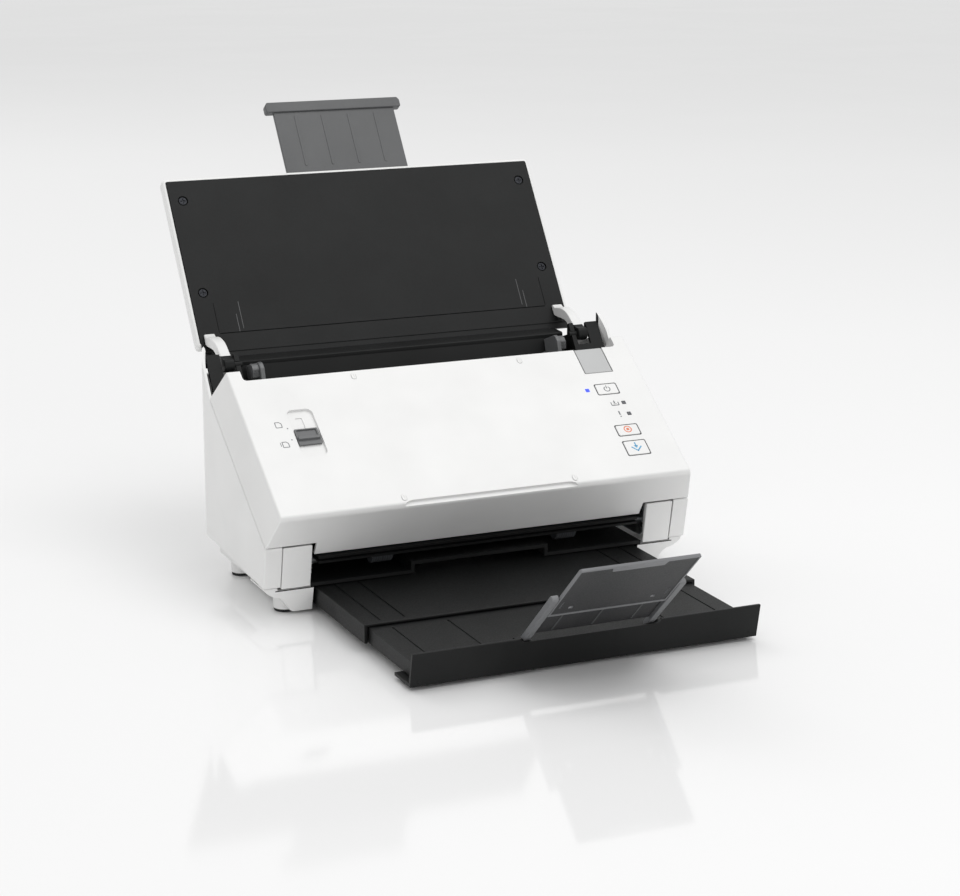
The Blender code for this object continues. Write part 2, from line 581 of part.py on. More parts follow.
def cover_shell():
    ear = on_slope(118.6)
    outline = [(0.2, 47.9), (-5.6, 57.0), (-12.0, 66.8), (-12.6, 69.4), (-10.4, 72.6), ear, (105.4, 121.2)]
    shell = outlined("cover_shell", outline, -HALF_W, HALF_W, "white_abs")
    taper_cover(shell.data)
    hollow = [(3.0, 40.0), (2.8, 47.8), (-3.0, 58.4), (-9.2, 67.8), (-9.4, 70.6), on_slope(TOP_S - 3.4, WALL),
              (98.2, 98.2), (100.0, 80.0)]
    ear_gap = [on_slope(TOP_S), (70.0, 170.0), (140.0, 170.0), (140.0, 98.0), (101.4, 98.0)]
    cut(shell, outlined("cover_hollow", hollow, -139.6, 139.6), outlined("ear_gap", ear_gap, -133.2, 133.2))
    lip = [(0.0, 49.6), (1.9, 49.6), (2.9, 45.0), (2.9, 39.2), (0.7, 39.2)]
    join(shell, outlined("cover_lip", lip, -114.4, 114.4))
    cut(shell,
        slope_prism("lever_slot", 54.6, 75.4, -108.6, -104.0, -2, 8),
        slope_prism("lever_recess", 42.0, 81.0, -113.4, -96.6, -2, 1.1),
        slope_prism("release_gap", 87.2, 130.0, 101.8, 122.6, -3, 8),
        slope_prism("finger_scoop", -14.0, -4.6, -56.0, 56.0, -4, 1.4))
    for name, opening in BUTTONS.items():
        cut(shell, around_button(*opening, 0.0, -2, 8, name + "_opening"))
    for name, (s, x, _) in LAMPS.items():
        reach = LAMP_HALF + 0.2
        cut(shell, slope_prism(name + "_hole", s - reach, s + reach, x - reach, x + reach, -2, 8))
    a = math.radians(SLOPE)
    for i, (x, s) in enumerate(((-59.4, 0.2), (59.4, 0.2), (-59.4, 104.6), (59.4, 104.6))):
        join(shell, post(f"nub_{i}", (x, *on_slope(s, 0.6)), (0, -math.sin(a), math.cos(a)), 2.2, 1.5, sides=12))


def cover_arms():
    """The two arms that carry the cover's hinge pins."""
    for name, side in (("left_arm_cover", -1), ("right_arm_cover", 1)):
        arm = outlined(name, [(0.1, 47.2), (5.6, 19.0), (11.0, 19.4), (16.4, 27.0), (16.4, 47.2)],
                       *ends(side, ARM_IN, ARM_OUT), "white_abs")
        hollow = [(2.7, 50.0), (7.6, 21.2), (10.2, 21.4), (30.0, 34.0), (30.0, 50.0)]
        cut(arm, outlined(name + "_hollow", hollow, *ends(side, ARM_IN - 3.0, ARM_OUT - 2.0)),
            box_beside(name + "_plate_gap", side, (110, 121.4), (5.6, 40), (15, 60)))
        join(arm, rod(name + "_pin", COVER_AXIS, 2.0, *ends(side, 118.6, 136.0), sides=12))


def cover_parts():
    """What the cover carries inside it, its buttons and its lamps."""
    frame = outlined("cover_frame", [(8.0, 62.0), (76.0, 110.0), (76.0, 112.4), (4.0, 64.6), (4.0, 62.0)],
                     -130.0, 130.0, "dark_grey_abs")
    cheek = [(4.6, 49.2), (4.6, 64.0), (76.0, 112.0), (96.0, 100.0), (108.6, 86.4), (97.0, 76.0), (70.0, 62.0),
             (40.0, 52.4), (18.0, 48.2)]
    join(frame, *[outlined(f"cover_cheek_{side}", cheek, *ends(side, 122.0, 124.0)) for side in (-1, 1)])
    slope_prism("control_board", 8.0, 80.0, 92.0, 121.0, 9.0, 10.6, "circuit_board")
    for name, (s, x, finish) in LAMPS.items():
        slope_prism(name, s - LAMP_HALF, s + LAMP_HALF, x - LAMP_HALF, x + LAMP_HALF, 0.0, 8.6, finish)
    for name, opening in BUTTONS.items():
        around_button(*opening, BUTTON_GAP, -0.1, 7.6, name, "white_abs")
    roller("separation_roller", SEPARATION_AXIS, 8.6, -32.0, 32.0, PICKUP_TYRES)
    roller("feed_idler", FEED_IDLER_AXIS, 5.4, -76.0, 76.0, FEED_TYRES)
    roller("eject_idler", EJECT_IDLER_AXIS, 4.4, -78.0, 78.0, EJECT_TYRES)


def cover_levers():
    lever = slope_prism("cover_release_lever", 87.6, 108.6, 102.2, 122.2, 0.0, 1.8, "light_grey_abs")
    tail = outlined("release_tail", [on_slope(106.8, 1.0), on_slope(109.4, 0.2), on_slope(109.8, 1.4),
                                     on_slope(109.8, 7.4), on_slope(108.0, 7.4), on_slope(107.4, 4.0)], 102.3, 122.1)
    pivot = outlined("release_pivot", strip(on_slope, 89.0, 93.0, 1.0, 5.4), 104.0, 120.4)
    join(lever, tail, pivot)
    knob = slope_prism("separation_lever", 51.6, 65.0, -112.8, -97.2, -0.3, 0.8, "mid_grey_abs")
    stem = slope_prism("separation_stem", 55.2, 61.4, -108.2, -104.4, 0.6, 9.0)
    rib = slope_prism("separation_rib", 57.2, 59.4, -112.4, -97.6, -1.2, 0.4)
    join(knob, stem, rib)


# ---------------------------------------------------------------- input tray


def tray_normal():
    a = math.radians(TRAY_ANGLE)
    return (0, -math.sin(a), math.cos(a))


def box_on_tray(name, x, s, half_x, half_s):
    return outlined(name, strip(on_tray, s - half_s, s + half_s, -0.8, 1.0), x - half_x, x + half_x)


def tray_shell():
    """The white skin, the black plate that the sheets lean on, and the four screws that hold them together."""
    skin = outlined("tray_skin", strip(on_tray, 0.0, TRAY_LENGTH, -9.0, -0.8), -TRAY_HALF_W, TRAY_HALF_W, "white_abs")
    plate_half = TRAY_HALF_W - 2.4
    cut(skin,
        outlined("tray_hollow", strip(on_tray, 2.0, TRAY_LENGTH - 2.0, -7.2, 3.0), 2.0 - TRAY_HALF_W,
                 TRAY_HALF_W - 2.0),
        outlined("tray_mouth", strip(on_tray, TRAY_LENGTH - 5.0, TRAY_LENGTH + 5.0, -7.2, -3.2), -46.4, 46.4))
    plate = outlined("tray_plate", strip(on_tray, 2.4, TRAY_LENGTH - 2.4, -2.6, 0.0), -plate_half, plate_half,
                     "black_abs")
    join(plate,
         outlined("tray_plate_lip", strip(on_tray, -4.6, 4.0, -0.6, 0.0), -plate_half, plate_half),
         outlined("tray_plate_flap", strip(on_tray, -9.0, 0.0, -2.2, -0.6), -121.0, 121.0))
    join(plate, outlined("tray_plate_apron", [(155.9, 136.6), (141.2, 136.2), (141.2, 134.7), (156.6, 135.1)],
                         -120.7, 120.7))
    cut(plate, outlined("flap_seam", strip(on_tray, 8.3, 8.9, -1.0, 1.0), -120.6, 120.6))
    spots = [(side * TRAY_SCREW_X, s) for s in TRAY_SCREW_S for side in (-1, 1)]
    for number, (x, s) in enumerate(spots, 1):
        cut(plate,
            post(f"screw_seat_{number}", (x, *on_tray(s, -1.4)), tray_normal(), 3.4, 3.0),
            post(f"screw_hole_{number}", (x, *on_tray(s, -4.0)), tray_normal(), 1.5, 6.0))
        screw = post(f"tray_screw_{number}", (x, *on_tray(s, -1.2)), tray_normal(), 3.0, 0.9, "screw_steel")
        join(screw, post(f"screw_shank_{number}", (x, *on_tray(s, -6.4)), tray_normal(), 1.1, 5.6, sides=12))
        cut(screw, box_on_tray(f"screw_cross_{number}_a", x, s, 1.9, 0.45),
            box_on_tray(f"screw_cross_{number}_b", x, s, 0.45, 1.9))


def tray_arms():
    """The two swan-neck arms, each with its hinge pin."""
    outline = [on_tray(8.0, 0.3), on_tray(8.0, 2.2), on_tray(5.0, 4.2), (150.0, 151.6), (140.0, 150.0),
               (131.0, 144.8), (126.6, 142.4), (121.6, 141.9), (119.6, 137.9), (121.0, 134.6), (125.2, 133.2),
               (129.8, 135.0), (134.0, 139.4), (142.0, 143.6), (149.0, 144.4), on_tray(1.0, 0.3)]
    for name, side in (("left_tray_arm", -1), ("right_tray_arm", 1)):
        arm = outlined(name, outline, *ends(side, 125.4, 132.6), "white_abs")
        join(arm, rod(name + "_pin", TRAY_AXIS, 2.0, *ends(side, 119.6, 128.0), sides=12))


def tray_extension():
    plate = outlined("tray_extension", strip(on_tray, 78.0, 176.0, -6.6, -4.0), -45.6, 45.6, "dark_grey_abs")
    join(plate, outlined("extension_bar", strip(on_tray, 174.8, 182.6, -8.4, -2.6), -51.0, 51.0))


def edge_guides():
    """The two guides that hold the sheets' edges. Each has a foot on the table, a thumb pad and a key in the slot."""
    fin = [(0.02, 0.5), (0.02, 17.0), (0.12, 21.5), (0.62, 19.0), (0.86, 8.0), (0.86, 0.5)]
    foot = [(0.21, 0.62), (0.21, 2.2), (0.66, 2.2), (0.66, 0.62)]
    pad = [(0.03, 6.0), (0.03, 15.0), (0.12, 19.5), (0.24, 18.0), (0.24, 6.0)]
    key = [(0.385, -5.0), (0.385, 1.0), (0.475, 1.0), (0.475, -5.0)]
    for name, side in (("left_edge_guide", -1), ("right_edge_guide", 1)):
        guide = outlined(name, [on_table(*p) for p in fin], *ends(side, 106.5, 109.6), "mid_grey_abs")
        join(guide,
             outlined(name + "_foot", [on_table(*p) for p in foot], *ends(side, 104.5, 115.5)),
             outlined(name + "_pad", [on_table(*p) for p in pad], *ends(side, 109.0, 114.5)),
             outlined(name + "_key", [on_table(*p) for p in key], *ends(side, 106.6, 110.0)))


# ---------------------------------------------------------------- output tray


def output_parts():
    tray = box("output_tray", (-112.6, -75.0, 15.4), (112.6, 52.0, 17.2), "black_abs")
    extension = box("output_extension", (-109.8, -151.0, 12.9), (109.8, -42.0, 15.0), "black_abs")
    lip = outlined("output_lip", [(-154.1, 23.6), (-149.8, 2.2), (-126.0, 2.2), (-126.0, 4.2), (-147.6, 4.4),
                                  (-151.8, 23.6)], -114.1, 114.1)
    join(extension, lip)
    boss = [(-151.6, 14.0), (-152.4, 22.6), (-146.3, 22.6), (-143.2, 19.5), (-143.2, 14.0)]
    pin_holes = []
    for side in (-1, 1):
        join(tray, box_beside(f"output_tray_side_{side}", side, (110.4, 112.59), (-74.99, 51.99), (5.1, 17.0)))
        join(extension,
             box_beside(f"output_extension_side_{side}", side, (107.6, 109.79), (-150.9, -42.01), (5.1, 14.9)),
             outlined(f"stopper_boss_{side}", boss, *ends(side, 43.4, 47.6)))
        pin_holes.append(rod(f"stopper_pin_hole_{side}", STOPPER_AXIS, 1.0 + GAP, *ends(side, 42.0, 46.4), sides=12))
    cut(extension,
        outlined("lip_dip", [(-160.0, 21.2), (-140.0, 21.2), (-140.0, 30.0), (-160.0, 30.0)], -43.4, 43.4),
        box("stopper_room", (-43.4, -150.4, 16.0), (43.4, -120.0, 30.0)),
        *pin_holes)


def stopper_parts():
    """The folding stopper: a frame on two arms, and a plate that slides in it."""
    frame = outlined("stopper_frame", strip(on_stopper, 8.0, 40.0, -1.8, -0.6), -39.0, 39.0, "dark_grey_abs")
    for side in (-1, 1):
        join(frame,
             outlined(f"stopper_arm_{side}", strip(on_stopper, 0.5, 57.0, -2.0, 1.8), *ends(side, 38.6, 43.0)),
             rod(f"stopper_eye_{side}", STOPPER_AXIS, 1.9, *ends(side, 38.7, 42.9)),
             rod(f"stopper_pin_{side}", STOPPER_AXIS, 1.0, *ends(side, 42.0, 46.0), sides=12))
    plate = outlined("stopper_plate", strip(on_stopper, 34.0, 92.0, -0.3, 1.6), -38.3, 38.3, "dark_grey_abs")
    cut(plate, outlined("stopper_notch", strip(on_stopper, 86.0, 95.0, -1.0, 2.5), -17.0, 17.0))


def main():
    bpy.context.scene.collection.children.link(COLLECTION)
    bpy.context.scene.collection.children.link(CUTTERS)
    CUTTERS.hide_render = True
    ROOT.location = (0, -ORIGIN_Y * MM, 0)
    COLLECTION.objects.link(ROOT)

    outer_plan, inner_plan = plan_cutter("outer_plan", 0.0), plan_cutter("inner_plan", WALL)
    side_cover("left_side_cover", -1, outer_plan, inner_plan)
    side_cover("right_side_cover", 1, outer_plan, inner_plan)
    bottom_cover()
    rear_cover()
    feed_table()
    guides()
    frame_plates()
    drive()
    scan_units()
    rear_parts()
    feet()
    cover_shell()
    cover_arms()
    cover_parts()
    cover_levers()
    tray_shell()
    tray_arms()
    tray_extension()
    edge_guides()
    output_parts()
    stopper_parts()


main()
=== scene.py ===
"""Sheet fed document scanner: the finished look of its pieces, laid out as an add-on and run as a script.

Lengths are in millimetres in the design frame, whose Y is zero at the front edge of the cover. ORIGIN_Y moves
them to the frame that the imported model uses, and MM turns them to metres.
"""

import json
import math

import bmesh
import bpy
from bpy.props import FloatProperty, FloatVectorProperty, IntProperty, PointerProperty
from mathutils import Matrix, Vector

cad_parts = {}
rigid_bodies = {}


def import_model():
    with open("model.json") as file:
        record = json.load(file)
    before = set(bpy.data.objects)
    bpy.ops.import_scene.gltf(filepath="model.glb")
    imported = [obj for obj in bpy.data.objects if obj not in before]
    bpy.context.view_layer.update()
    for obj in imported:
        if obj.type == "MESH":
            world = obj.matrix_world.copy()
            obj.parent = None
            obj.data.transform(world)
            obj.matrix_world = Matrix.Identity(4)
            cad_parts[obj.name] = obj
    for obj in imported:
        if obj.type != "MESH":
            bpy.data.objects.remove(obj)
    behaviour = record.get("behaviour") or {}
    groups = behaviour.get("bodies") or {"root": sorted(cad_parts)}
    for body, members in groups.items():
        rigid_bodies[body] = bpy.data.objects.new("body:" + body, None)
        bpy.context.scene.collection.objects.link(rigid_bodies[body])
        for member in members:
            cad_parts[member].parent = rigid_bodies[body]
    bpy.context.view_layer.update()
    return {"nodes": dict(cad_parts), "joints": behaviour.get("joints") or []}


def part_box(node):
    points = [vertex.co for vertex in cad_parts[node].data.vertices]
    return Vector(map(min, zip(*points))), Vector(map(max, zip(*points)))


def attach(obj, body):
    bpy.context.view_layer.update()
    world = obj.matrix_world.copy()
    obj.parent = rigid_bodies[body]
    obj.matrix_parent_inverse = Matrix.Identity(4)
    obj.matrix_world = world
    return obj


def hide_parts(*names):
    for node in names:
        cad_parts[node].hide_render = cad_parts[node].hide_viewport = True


bl_info = {
    "name": "Sheet Fed Document Scanner",
    "version": (1, 0, 0),
    "blender": (4, 5, 0),
    "location": "View3D > Sidebar > Scanner",
    "description": "Builds the finished pieces of a desktop document scanner round its packed model",
    "category": "Object",
}

for leftover in list(bpy.data.objects):
    bpy.data.objects.remove(leftover)
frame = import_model()

MM = 0.001
ORIGIN_Y = 28.13

# the sloping top, the input tray, the hopper's table and the raised stopper
SLOPE, SLOPE_Y, SLOPE_Z = 35.2, -9.2, 73.6
TRAY_ANGLE, TRAY_Y, TRAY_Z = 55.1, 160.1, 143.8
TABLE_TOP, TABLE_FOOT = (138.15, 133.72), (121.706, 89.604)
STOPPER_LEAN, STOPPER_AXIS = 47.5, (-146.3, 19.5)

# casing
HALF_W, SLOPE_HALF_W, SEAM_DEPTH = 148.5, 142.4, 26.6
REAR_Y, REAR_R, WALL = 139.8, 24.0, 2.2
DECK_Z, SKIRT_IN, SKIRT_OUT = 18.2, 114.5, 140.0
TRAY_HALF_W, TRAY_LENGTH = 137.8, 126.2

# openings on the slope: x0, x1, s0, s1
POWER_KEY = (103.7, 120.0, 67.2, 77.0)
STOP_KEY = (103.9, 120.7, 30.0, 39.8)
START_KEY = (103.9, 120.7, 12.8, 25.7)
LAMPS = {"power_led": (97.5, 72.5), "ready_led": (119.1, 58.9), "error_led": (119.1, 49.0)}

# nubs on the cover's edges and screws of the input tray: how far each is from the middle, and how far up
NUB_X, NUB_S = 59.4, (0.2, 104.7)
SCREW_X, SCREW_S = 126.3, (39.3, 108.7)

# tyres: name, body, radius as modelled, spans along X
INNER_PAIR, FOUR = ((-26, -6), (6, 26)), ((-70, -52), (-26, -8), (8, 26), (52, 70))
OUTER_PAIR = ((-72, -58), (58, 72))
TYRES = (
    ("pickup_tyres", "pickup_roller", 9.0, INNER_PAIR),
    ("feed_tyres", "feed_roller", 6.4, FOUR),
    ("eject_tyres", "eject_roller", 6.4, OUTER_PAIR),
    ("separation_tyres", "separation_roller", 8.6, INNER_PAIR),
    ("feed_idler_tyres", "feed_idler", 5.4, FOUR),
    ("eject_idler_tyres", "eject_idler", 4.4, OUTER_PAIR),
)
TYRE_PROUD, TYRE_BORE, GROOVE_PITCH, GROOVE_DEPTH = 0.16, 2.6, 3.0, 0.12

# the camera, in metres and degrees, and the studio's even light
CAMERA_AT, CAMERA_TILT, CAMERA_TURN = (-0.6118, -1.39263, 0.4772), 75.75, -24.03
SKY_STRENGTH = 0.76
FLOOR_REACH, FLOOR_DROP = 9.0, 0.0002


# ---------------------------------------------------------------- places


def slope(x, s, d=0.0):
    """A point x across and s up the sloping top, d below its surface."""
    a = math.radians(SLOPE)
    return (x, SLOPE_Y + s * math.cos(a) + d * math.sin(a), SLOPE_Z + s * math.sin(a) - d * math.cos(a))


def tray(x, s, v=0.0):
    """A point x across and s up the input tray, v in front of its face."""
    a = math.radians(TRAY_ANGLE)
    return (x, TRAY_Y + s * math.cos(a) - v * math.sin(a), TRAY_Z + s * math.sin(a) + v * math.cos(a))


def stopper(x, s, v=0.0):
    """A point x across and s up the raised stopper, v in front of its middle plane."""
    a = math.radians(STOPPER_LEAN)
    y, z = STOPPER_AXIS
    return (x, y - s * math.sin(a) - v * math.cos(a), z + s * math.cos(a) - v * math.sin(a))


def table(x, share, v=0.0):
    """A point x across and this share of the way down the hopper's table, v above it."""
    (y0, z0), (y1, z1) = TABLE_TOP, TABLE_FOOT
    length = math.hypot(y1 - y0, z1 - z0)
    ny, nz = (z1 - z0) / length, -(y1 - y0) / length
    return (x, y0 + (y1 - y0) * share + ny * v, z0 + (z1 - z0) * share + nz * v)


def across(y, z, x):
    """For an outline drawn from the side."""
    return (x, y, z)


def level(x, y, z):
    """For an outline drawn from above."""
    return (x, y, z)


def facing(x, z, y):
    """For an outline drawn from the front."""
    return (x, y, z)


def metres(point):
    x, y, z = point
    return Vector((x, y - ORIGIN_Y, z)) * MM


def yz(place, *at):
    """The (y, z) part of a place, for an outline drawn from the side."""
    return place(0.0, *at)[1:]


def ends(side, near, far):
    """X limits, low then high, of a piece on the left (side -1) or the right (side 1)."""
    return sorted((side * near, side * far))


def axis_of(body):
    """The (y, z) of the line that a body turns on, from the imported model's joints."""
    _, y, z = next(joint["pos_m"] for joint in frame["joints"] if joint["child"] == body)
    return (y / MM + ORIGIN_Y, z / MM)


def foot_places():
    """The number and the centre (x, y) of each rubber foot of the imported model."""
    for number in range(1, 5):
        low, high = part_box(f"rubber_foot_{number}")
        yield number, (low.x + high.x) / 2 / MM, (low.y + high.y) / 2 / MM + ORIGIN_Y


# ---------------------------------------------------------------- shapes


def new_object(name, mesh):
    obj = bpy.data.objects.new(name, mesh)
    bpy.context.scene.collection.objects.link(obj)
    return obj


def solid(name, outline, place, low, high, edge=0.0, steps=3):
    """A flat outline made solid from low to high, with every edge rounded by edge millimetres."""
    bm = bmesh.new()
    rings = [[bm.verts.new(metres(place(u, v, t))) for u, v in outline] for t in (low, high)]
    bm.faces.new(rings[0])
    bm.faces.new(rings[1][::-1])
    for i in range(len(outline)):
        j = (i + 1) % len(outline)
        bm.faces.new((rings[0][j], rings[0][i], rings[1][i], rings[1][j]))
    bmesh.ops.recalc_face_normals(bm, faces=bm.faces)
    mesh = bpy.data.meshes.new(name)
    bm.to_mesh(mesh)
    bm.free()
    obj = new_object(name, mesh)
    if edge:
        soften(obj, edge, steps)
    return obj


def soften(obj, edge, steps=3, angle=30.0):
    bevel = obj.modifiers.new("rounded_edges", "BEVEL")
    bevel.width = edge * MM
    bevel.segments = steps
    bevel.limit_method = "ANGLE"
    bevel.angle_limit = math.radians(angle)
    return obj


def turned(name, profile, axis, sides=40):
    """A round piece about a line along X. profile is a closed list of (x, radius)."""
    bm = bmesh.new()
    y, z = axis
    rings = []
    for k in range(sides):
        a = 2 * math.pi * k / sides
        rings.append([bm.verts.new(metres((x, y + r * math.cos(a), z + r * math.sin(a)))) for x, r in profile])
    for k in range(sides):
        near, far = rings[k], rings[(k + 1) % sides]
        for i in range(len(profile)):
            j = (i + 1) % len(profile)
            bm.faces.new((near[i], near[j], far[j], far[i]))
    bmesh.ops.recalc_face_normals(bm, faces=bm.faces)
    mesh = bpy.data.meshes.new(name)
    bm.to_mesh(mesh)
    bm.free()
    return new_object(name, mesh)


def apply_all(obj):
    """Turns the object and its modifiers into a plain mesh."""
    bpy.context.view_layer.update()
    made = bpy.data.meshes.new_from_object(obj.evaluated_get(bpy.context.evaluated_depsgraph_get()))
    obj.modifiers.clear()
    obj.data = made
    return obj


def combine(obj, operation, others):
    for other in others:
        step = obj.modifiers.new(operation.lower(), "BOOLEAN")
        step.operation = operation
        step.object = other
    apply_all(obj)
    for other in others:
        bpy.data.objects.remove(other)
    return obj


def cut(obj, *others):
    return combine(obj, "DIFFERENCE", others)


def fuse(obj, *others):
    return combine(obj, "UNION", others)


def gather(name, *objs):
    """Several separate solids in one piece."""
    bm = bmesh.new()
    for obj in objs:
        apply_all(obj)
        bm.from_mesh(obj.data)
        bpy.data.objects.remove(obj)
    mesh = bpy.data.meshes.new(name)
    bm.to_mesh(mesh)
    bm.free()
    return new_object(name, mesh)


def rectangle(x0, x1, s0, s1):
    return [(x0, s0), (x1, s0), (x1, s1), (x0, s1)]


def rounded(x0, x1, s0, s1, r, steps=6):
    """A rectangle's outline with round corners."""
    points = []
    corners = ((x1 - r, s1 - r, 0), (x0 + r, s1 - r, 90), (x0 + r, s0 + r, 180), (x1 - r, s0 + r, 270))
    for cx, cs, turn in corners:
        for k in range(steps + 1):
            a = math.radians(turn + 90 * k / steps)
            points.append((cx + r * math.cos(a), cs + r * math.sin(a)))
    return points


def disc(cx, cs, radius, steps=8):
    """A round outline: a rectangle's whose corners leave hardly any straight side."""
    return rounded(cx - radius, cx + radius, cs - radius, cs + radius, radius - 0.05, steps)


def band(cx, cs, inner, outer, first, last, steps=20):
    """The outline of an arc with a width, between two angles."""
    angles = [math.radians(first + (last - first) * k / steps) for k in range(steps + 1)]
    return ([(cx + outer * math.cos(a), cs + outer * math.sin(a)) for a in angles]
            + [(cx + inner * math.cos(a), cs + inner * math.sin(a)) for a in reversed(angles)])


def stroke(x0, s0, x1, s1, width):
    """The outline of a straight line with a width."""
    length = math.hypot(x1 - x0, s1 - s0)
    nx, ns = -(s1 - s0) / length * width / 2, (x1 - x0) / length * width / 2
    return [(x0 + nx, s0 + ns), (x0 - nx, s0 - ns), (x1 - nx, s1 - ns), (x1 + nx, s1 + ns)]


def smooth_curve(points, per_leg=4):
    """A closed outline through the points, as a smooth curve."""
    out = []
    count = len(points)
    for i in range(count):
        p0, p1, p2, p3 = (points[(i + k) % count] for k in (-1, 0, 1, 2))
        for step in range(per_leg):
            t = step / per_leg
            out.append(tuple(0.5 * (2 * b + (c - a) * t + (2 * a - 5 * b + 4 * c - d) * t * t
                                    + (3 * b - a - 3 * c + d) * t ** 3) for a, b, c, d in zip(p0, p1, p2, p3)))
    return out


def two_tone(obj, main, other, on_other):
    """Gives the object two finishes. on_other tells which faces take the second."""
    obj.data.materials.append(FINISH[main])
    obj.data.materials.append(FINISH[other])
    for face in obj.data.polygons:
        face.material_index = int(on_other(face))


def deliver(obj, body, finish, nodes=(), sharp=40.0, grade=True):
    """Shades the finished mesh, gives it its material and puts it on its body."""
    apply_all(obj)
    if finish:
        obj.data.materials.clear()
        obj.data.materials.append(FINISH[finish])
    obj.data.polygons.foreach_set("use_smooth", [True] * len(obj.data.polygons))
    obj.data.set_sharp_from_angle(angle=math.radians(sharp))
    if grade:
        even = obj.modifiers.new("even_shading", "WEIGHTED_NORMAL")
        even.keep_sharp = True
        apply_all(obj)
    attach(obj, body)
    if nodes:
        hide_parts(*nodes)
    return obj


# ---------------------------------------------------------------- repeated details


def add_node(tree, kind, inputs=None, stops=(), **settings):
    """Adds a node with its settings. inputs holds links or values by the socket's name or number, and stops
    holds the places and colours of a colour ramp."""
    made = tree.nodes.new(kind)
    for key, value in settings.items():
        setattr(made, key, value)
    for key, value in (inputs or {}).items():
        if isinstance(value, bpy.types.NodeSocket):
            tree.links.new(value, made.inputs[key])
        else:
            made.inputs[key].default_value = value
    for number, (place, colour) in enumerate(stops):
        made.color_ramp.elements[number].position = place
        made.color_ramp.elements[number].color = colour
    return made


def rows_tree():
    """Puts a row of copies of one small piece at each point of the mesh."""
    tree = bpy.data.node_groups.new("rows_of_copies", "GeometryNodeTree")
    for label, kind in (("Geometry", "NodeSocketGeometry"), ("Piece", "NodeSocketObject"),
                        ("Count", "NodeSocketInt"), ("Step", "NodeSocketVector"), ("Size", "NodeSocketFloat"),
                        ("Finish", "NodeSocketMaterial")):
        tree.interface.new_socket(name=label, in_out="INPUT", socket_type=kind)
    tree.interface.new_socket(name="Geometry", in_out="OUTPUT", socket_type="NodeSocketGeometry")
    given = add_node(tree, "NodeGroupInput").outputs
    line = add_node(tree, "GeometryNodeMeshLine", {"Count": given["Count"], "Offset": given["Step"]})
    piece = add_node(tree, "GeometryNodeObjectInfo", {"Object": given["Piece"]})
    row = add_node(tree, "GeometryNodeInstanceOnPoints", {"Points": line.outputs[0], "Scale": given["Size"],
                                                          "Instance": piece.outputs["Geometry"]})
    rows = add_node(tree, "GeometryNodeInstanceOnPoints", {"Points": given["Geometry"],
                                                           "Instance": row.outputs[0]})
    real = add_node(tree, "GeometryNodeRealizeInstances", {0: rows.outputs[0]})
    painted = add_node(tree, "GeometryNodeSetMaterial", {"Geometry": real.outputs[0],
                                                         "Material": given["Finish"]})
    add_node(tree, "NodeGroupOutput", {0: painted.outputs[0]})
    return tree


def repeat(name, piece, spots, finish, count=1, step=(0, 0, 0)):
    """Rows of a small piece as one plain mesh. spots are where the rows start, and step is in millimetres."""
    apply_all(piece)
    mesh = bpy.data.meshes.new(name)
    mesh.from_pydata([metres(spot) for spot in spots], [], [])
    host = new_object(name, mesh)
    tree = bpy.data.node_groups.get("rows_of_copies") or rows_tree()
    values = {"Piece": piece, "Count": count, "Step": Vector(step) * MM, "Size": 1.0, "Finish": FINISH[finish]}
    maker = host.modifiers.new("rows", "NODES")
    maker.node_group = tree
    for item in tree.interface.items_tree:
        if item.in_out == "INPUT" and item.name in values:
            maker[item.identifier] = values[item.name]
    apply_all(host)
    bpy.data.objects.remove(piece)
    return host


def at_origin(obj, spot):
    """Moves a small piece made in place to the origin, so that it can be copied to other places."""
    apply_all(obj)
    obj.data.transform(Matrix.Translation(-metres(spot)))
    return obj


# ---------------------------------------------------------------- materials

FINISH = {}

# where a pattern's values mostly lie, the drift of a moulding's colour in mm, and the wave texture's factor
PATTERN_LOW, PATTERN_HIGH = 0.3, 0.7
DRIFT_SIZE = 45.0
WAVE_TURN = 6.3


def linear(code):
    """An sRGB hex colour as linear RGBA."""
    channels = [int(code[i:i + 2], 16) / 255 for i in (1, 3, 5)]
    return (*[c / 12.92 if c <= 0.04045 else ((c + 0.055) / 1.055) ** 2.4 for c in channels], 1.0)


def new_finish(name, roughness, ior=1.5, metallic=0.0):
    """A new material with its shader, and the object coordinates in metres."""
    made = bpy.data.materials.new(name)
    made.use_nodes = True
    tree = made.node_tree
    shader = tree.nodes["Principled BSDF"]
    shader.inputs["Roughness"].default_value = roughness
    shader.inputs["Metallic"].default_value = metallic
    if not metallic:
        shader.inputs["IOR"].default_value = ior
    FINISH[name] = made
    return tree, shader, add_node(tree, "ShaderNodeTexCoord").outputs["Object"]


def blend(low, high):
    """The stops of a ramp between two colours over the middle of a pattern, where nearly all of it lies."""
    return ((PATTERN_LOW, low), (PATTERN_HIGH, high))


def gloss_range(low, high):
    """The sockets of a Map Range node that turns a pattern into a roughness."""
    return {"From Min": PATTERN_LOW, "From Max": PATTERN_HIGH, "To Min": low, "To Max": high}


def mottled(name, low, high, blotch_mm, roughness, ior=1.5, metallic=0.0):
    """A finish of one colour with soft blotches of about blotch_mm. Returns its tree, shader and colour."""
    tree, shader, coords = new_finish(name, roughness, ior, metallic)
    blotches = add_node(tree, "ShaderNodeTexNoise", {"Vector": coords, "Scale": 1 / (blotch_mm * MM),
                                                     "Detail": 3.0})
    colour = add_node(tree, "ShaderNodeValToRGB", {"Fac": blotches.outputs["Fac"]}, blend(low, high))
    tree.links.new(colour.outputs["Color"], shader.inputs["Base Color"])
    return tree, shader, colour.outputs["Color"]


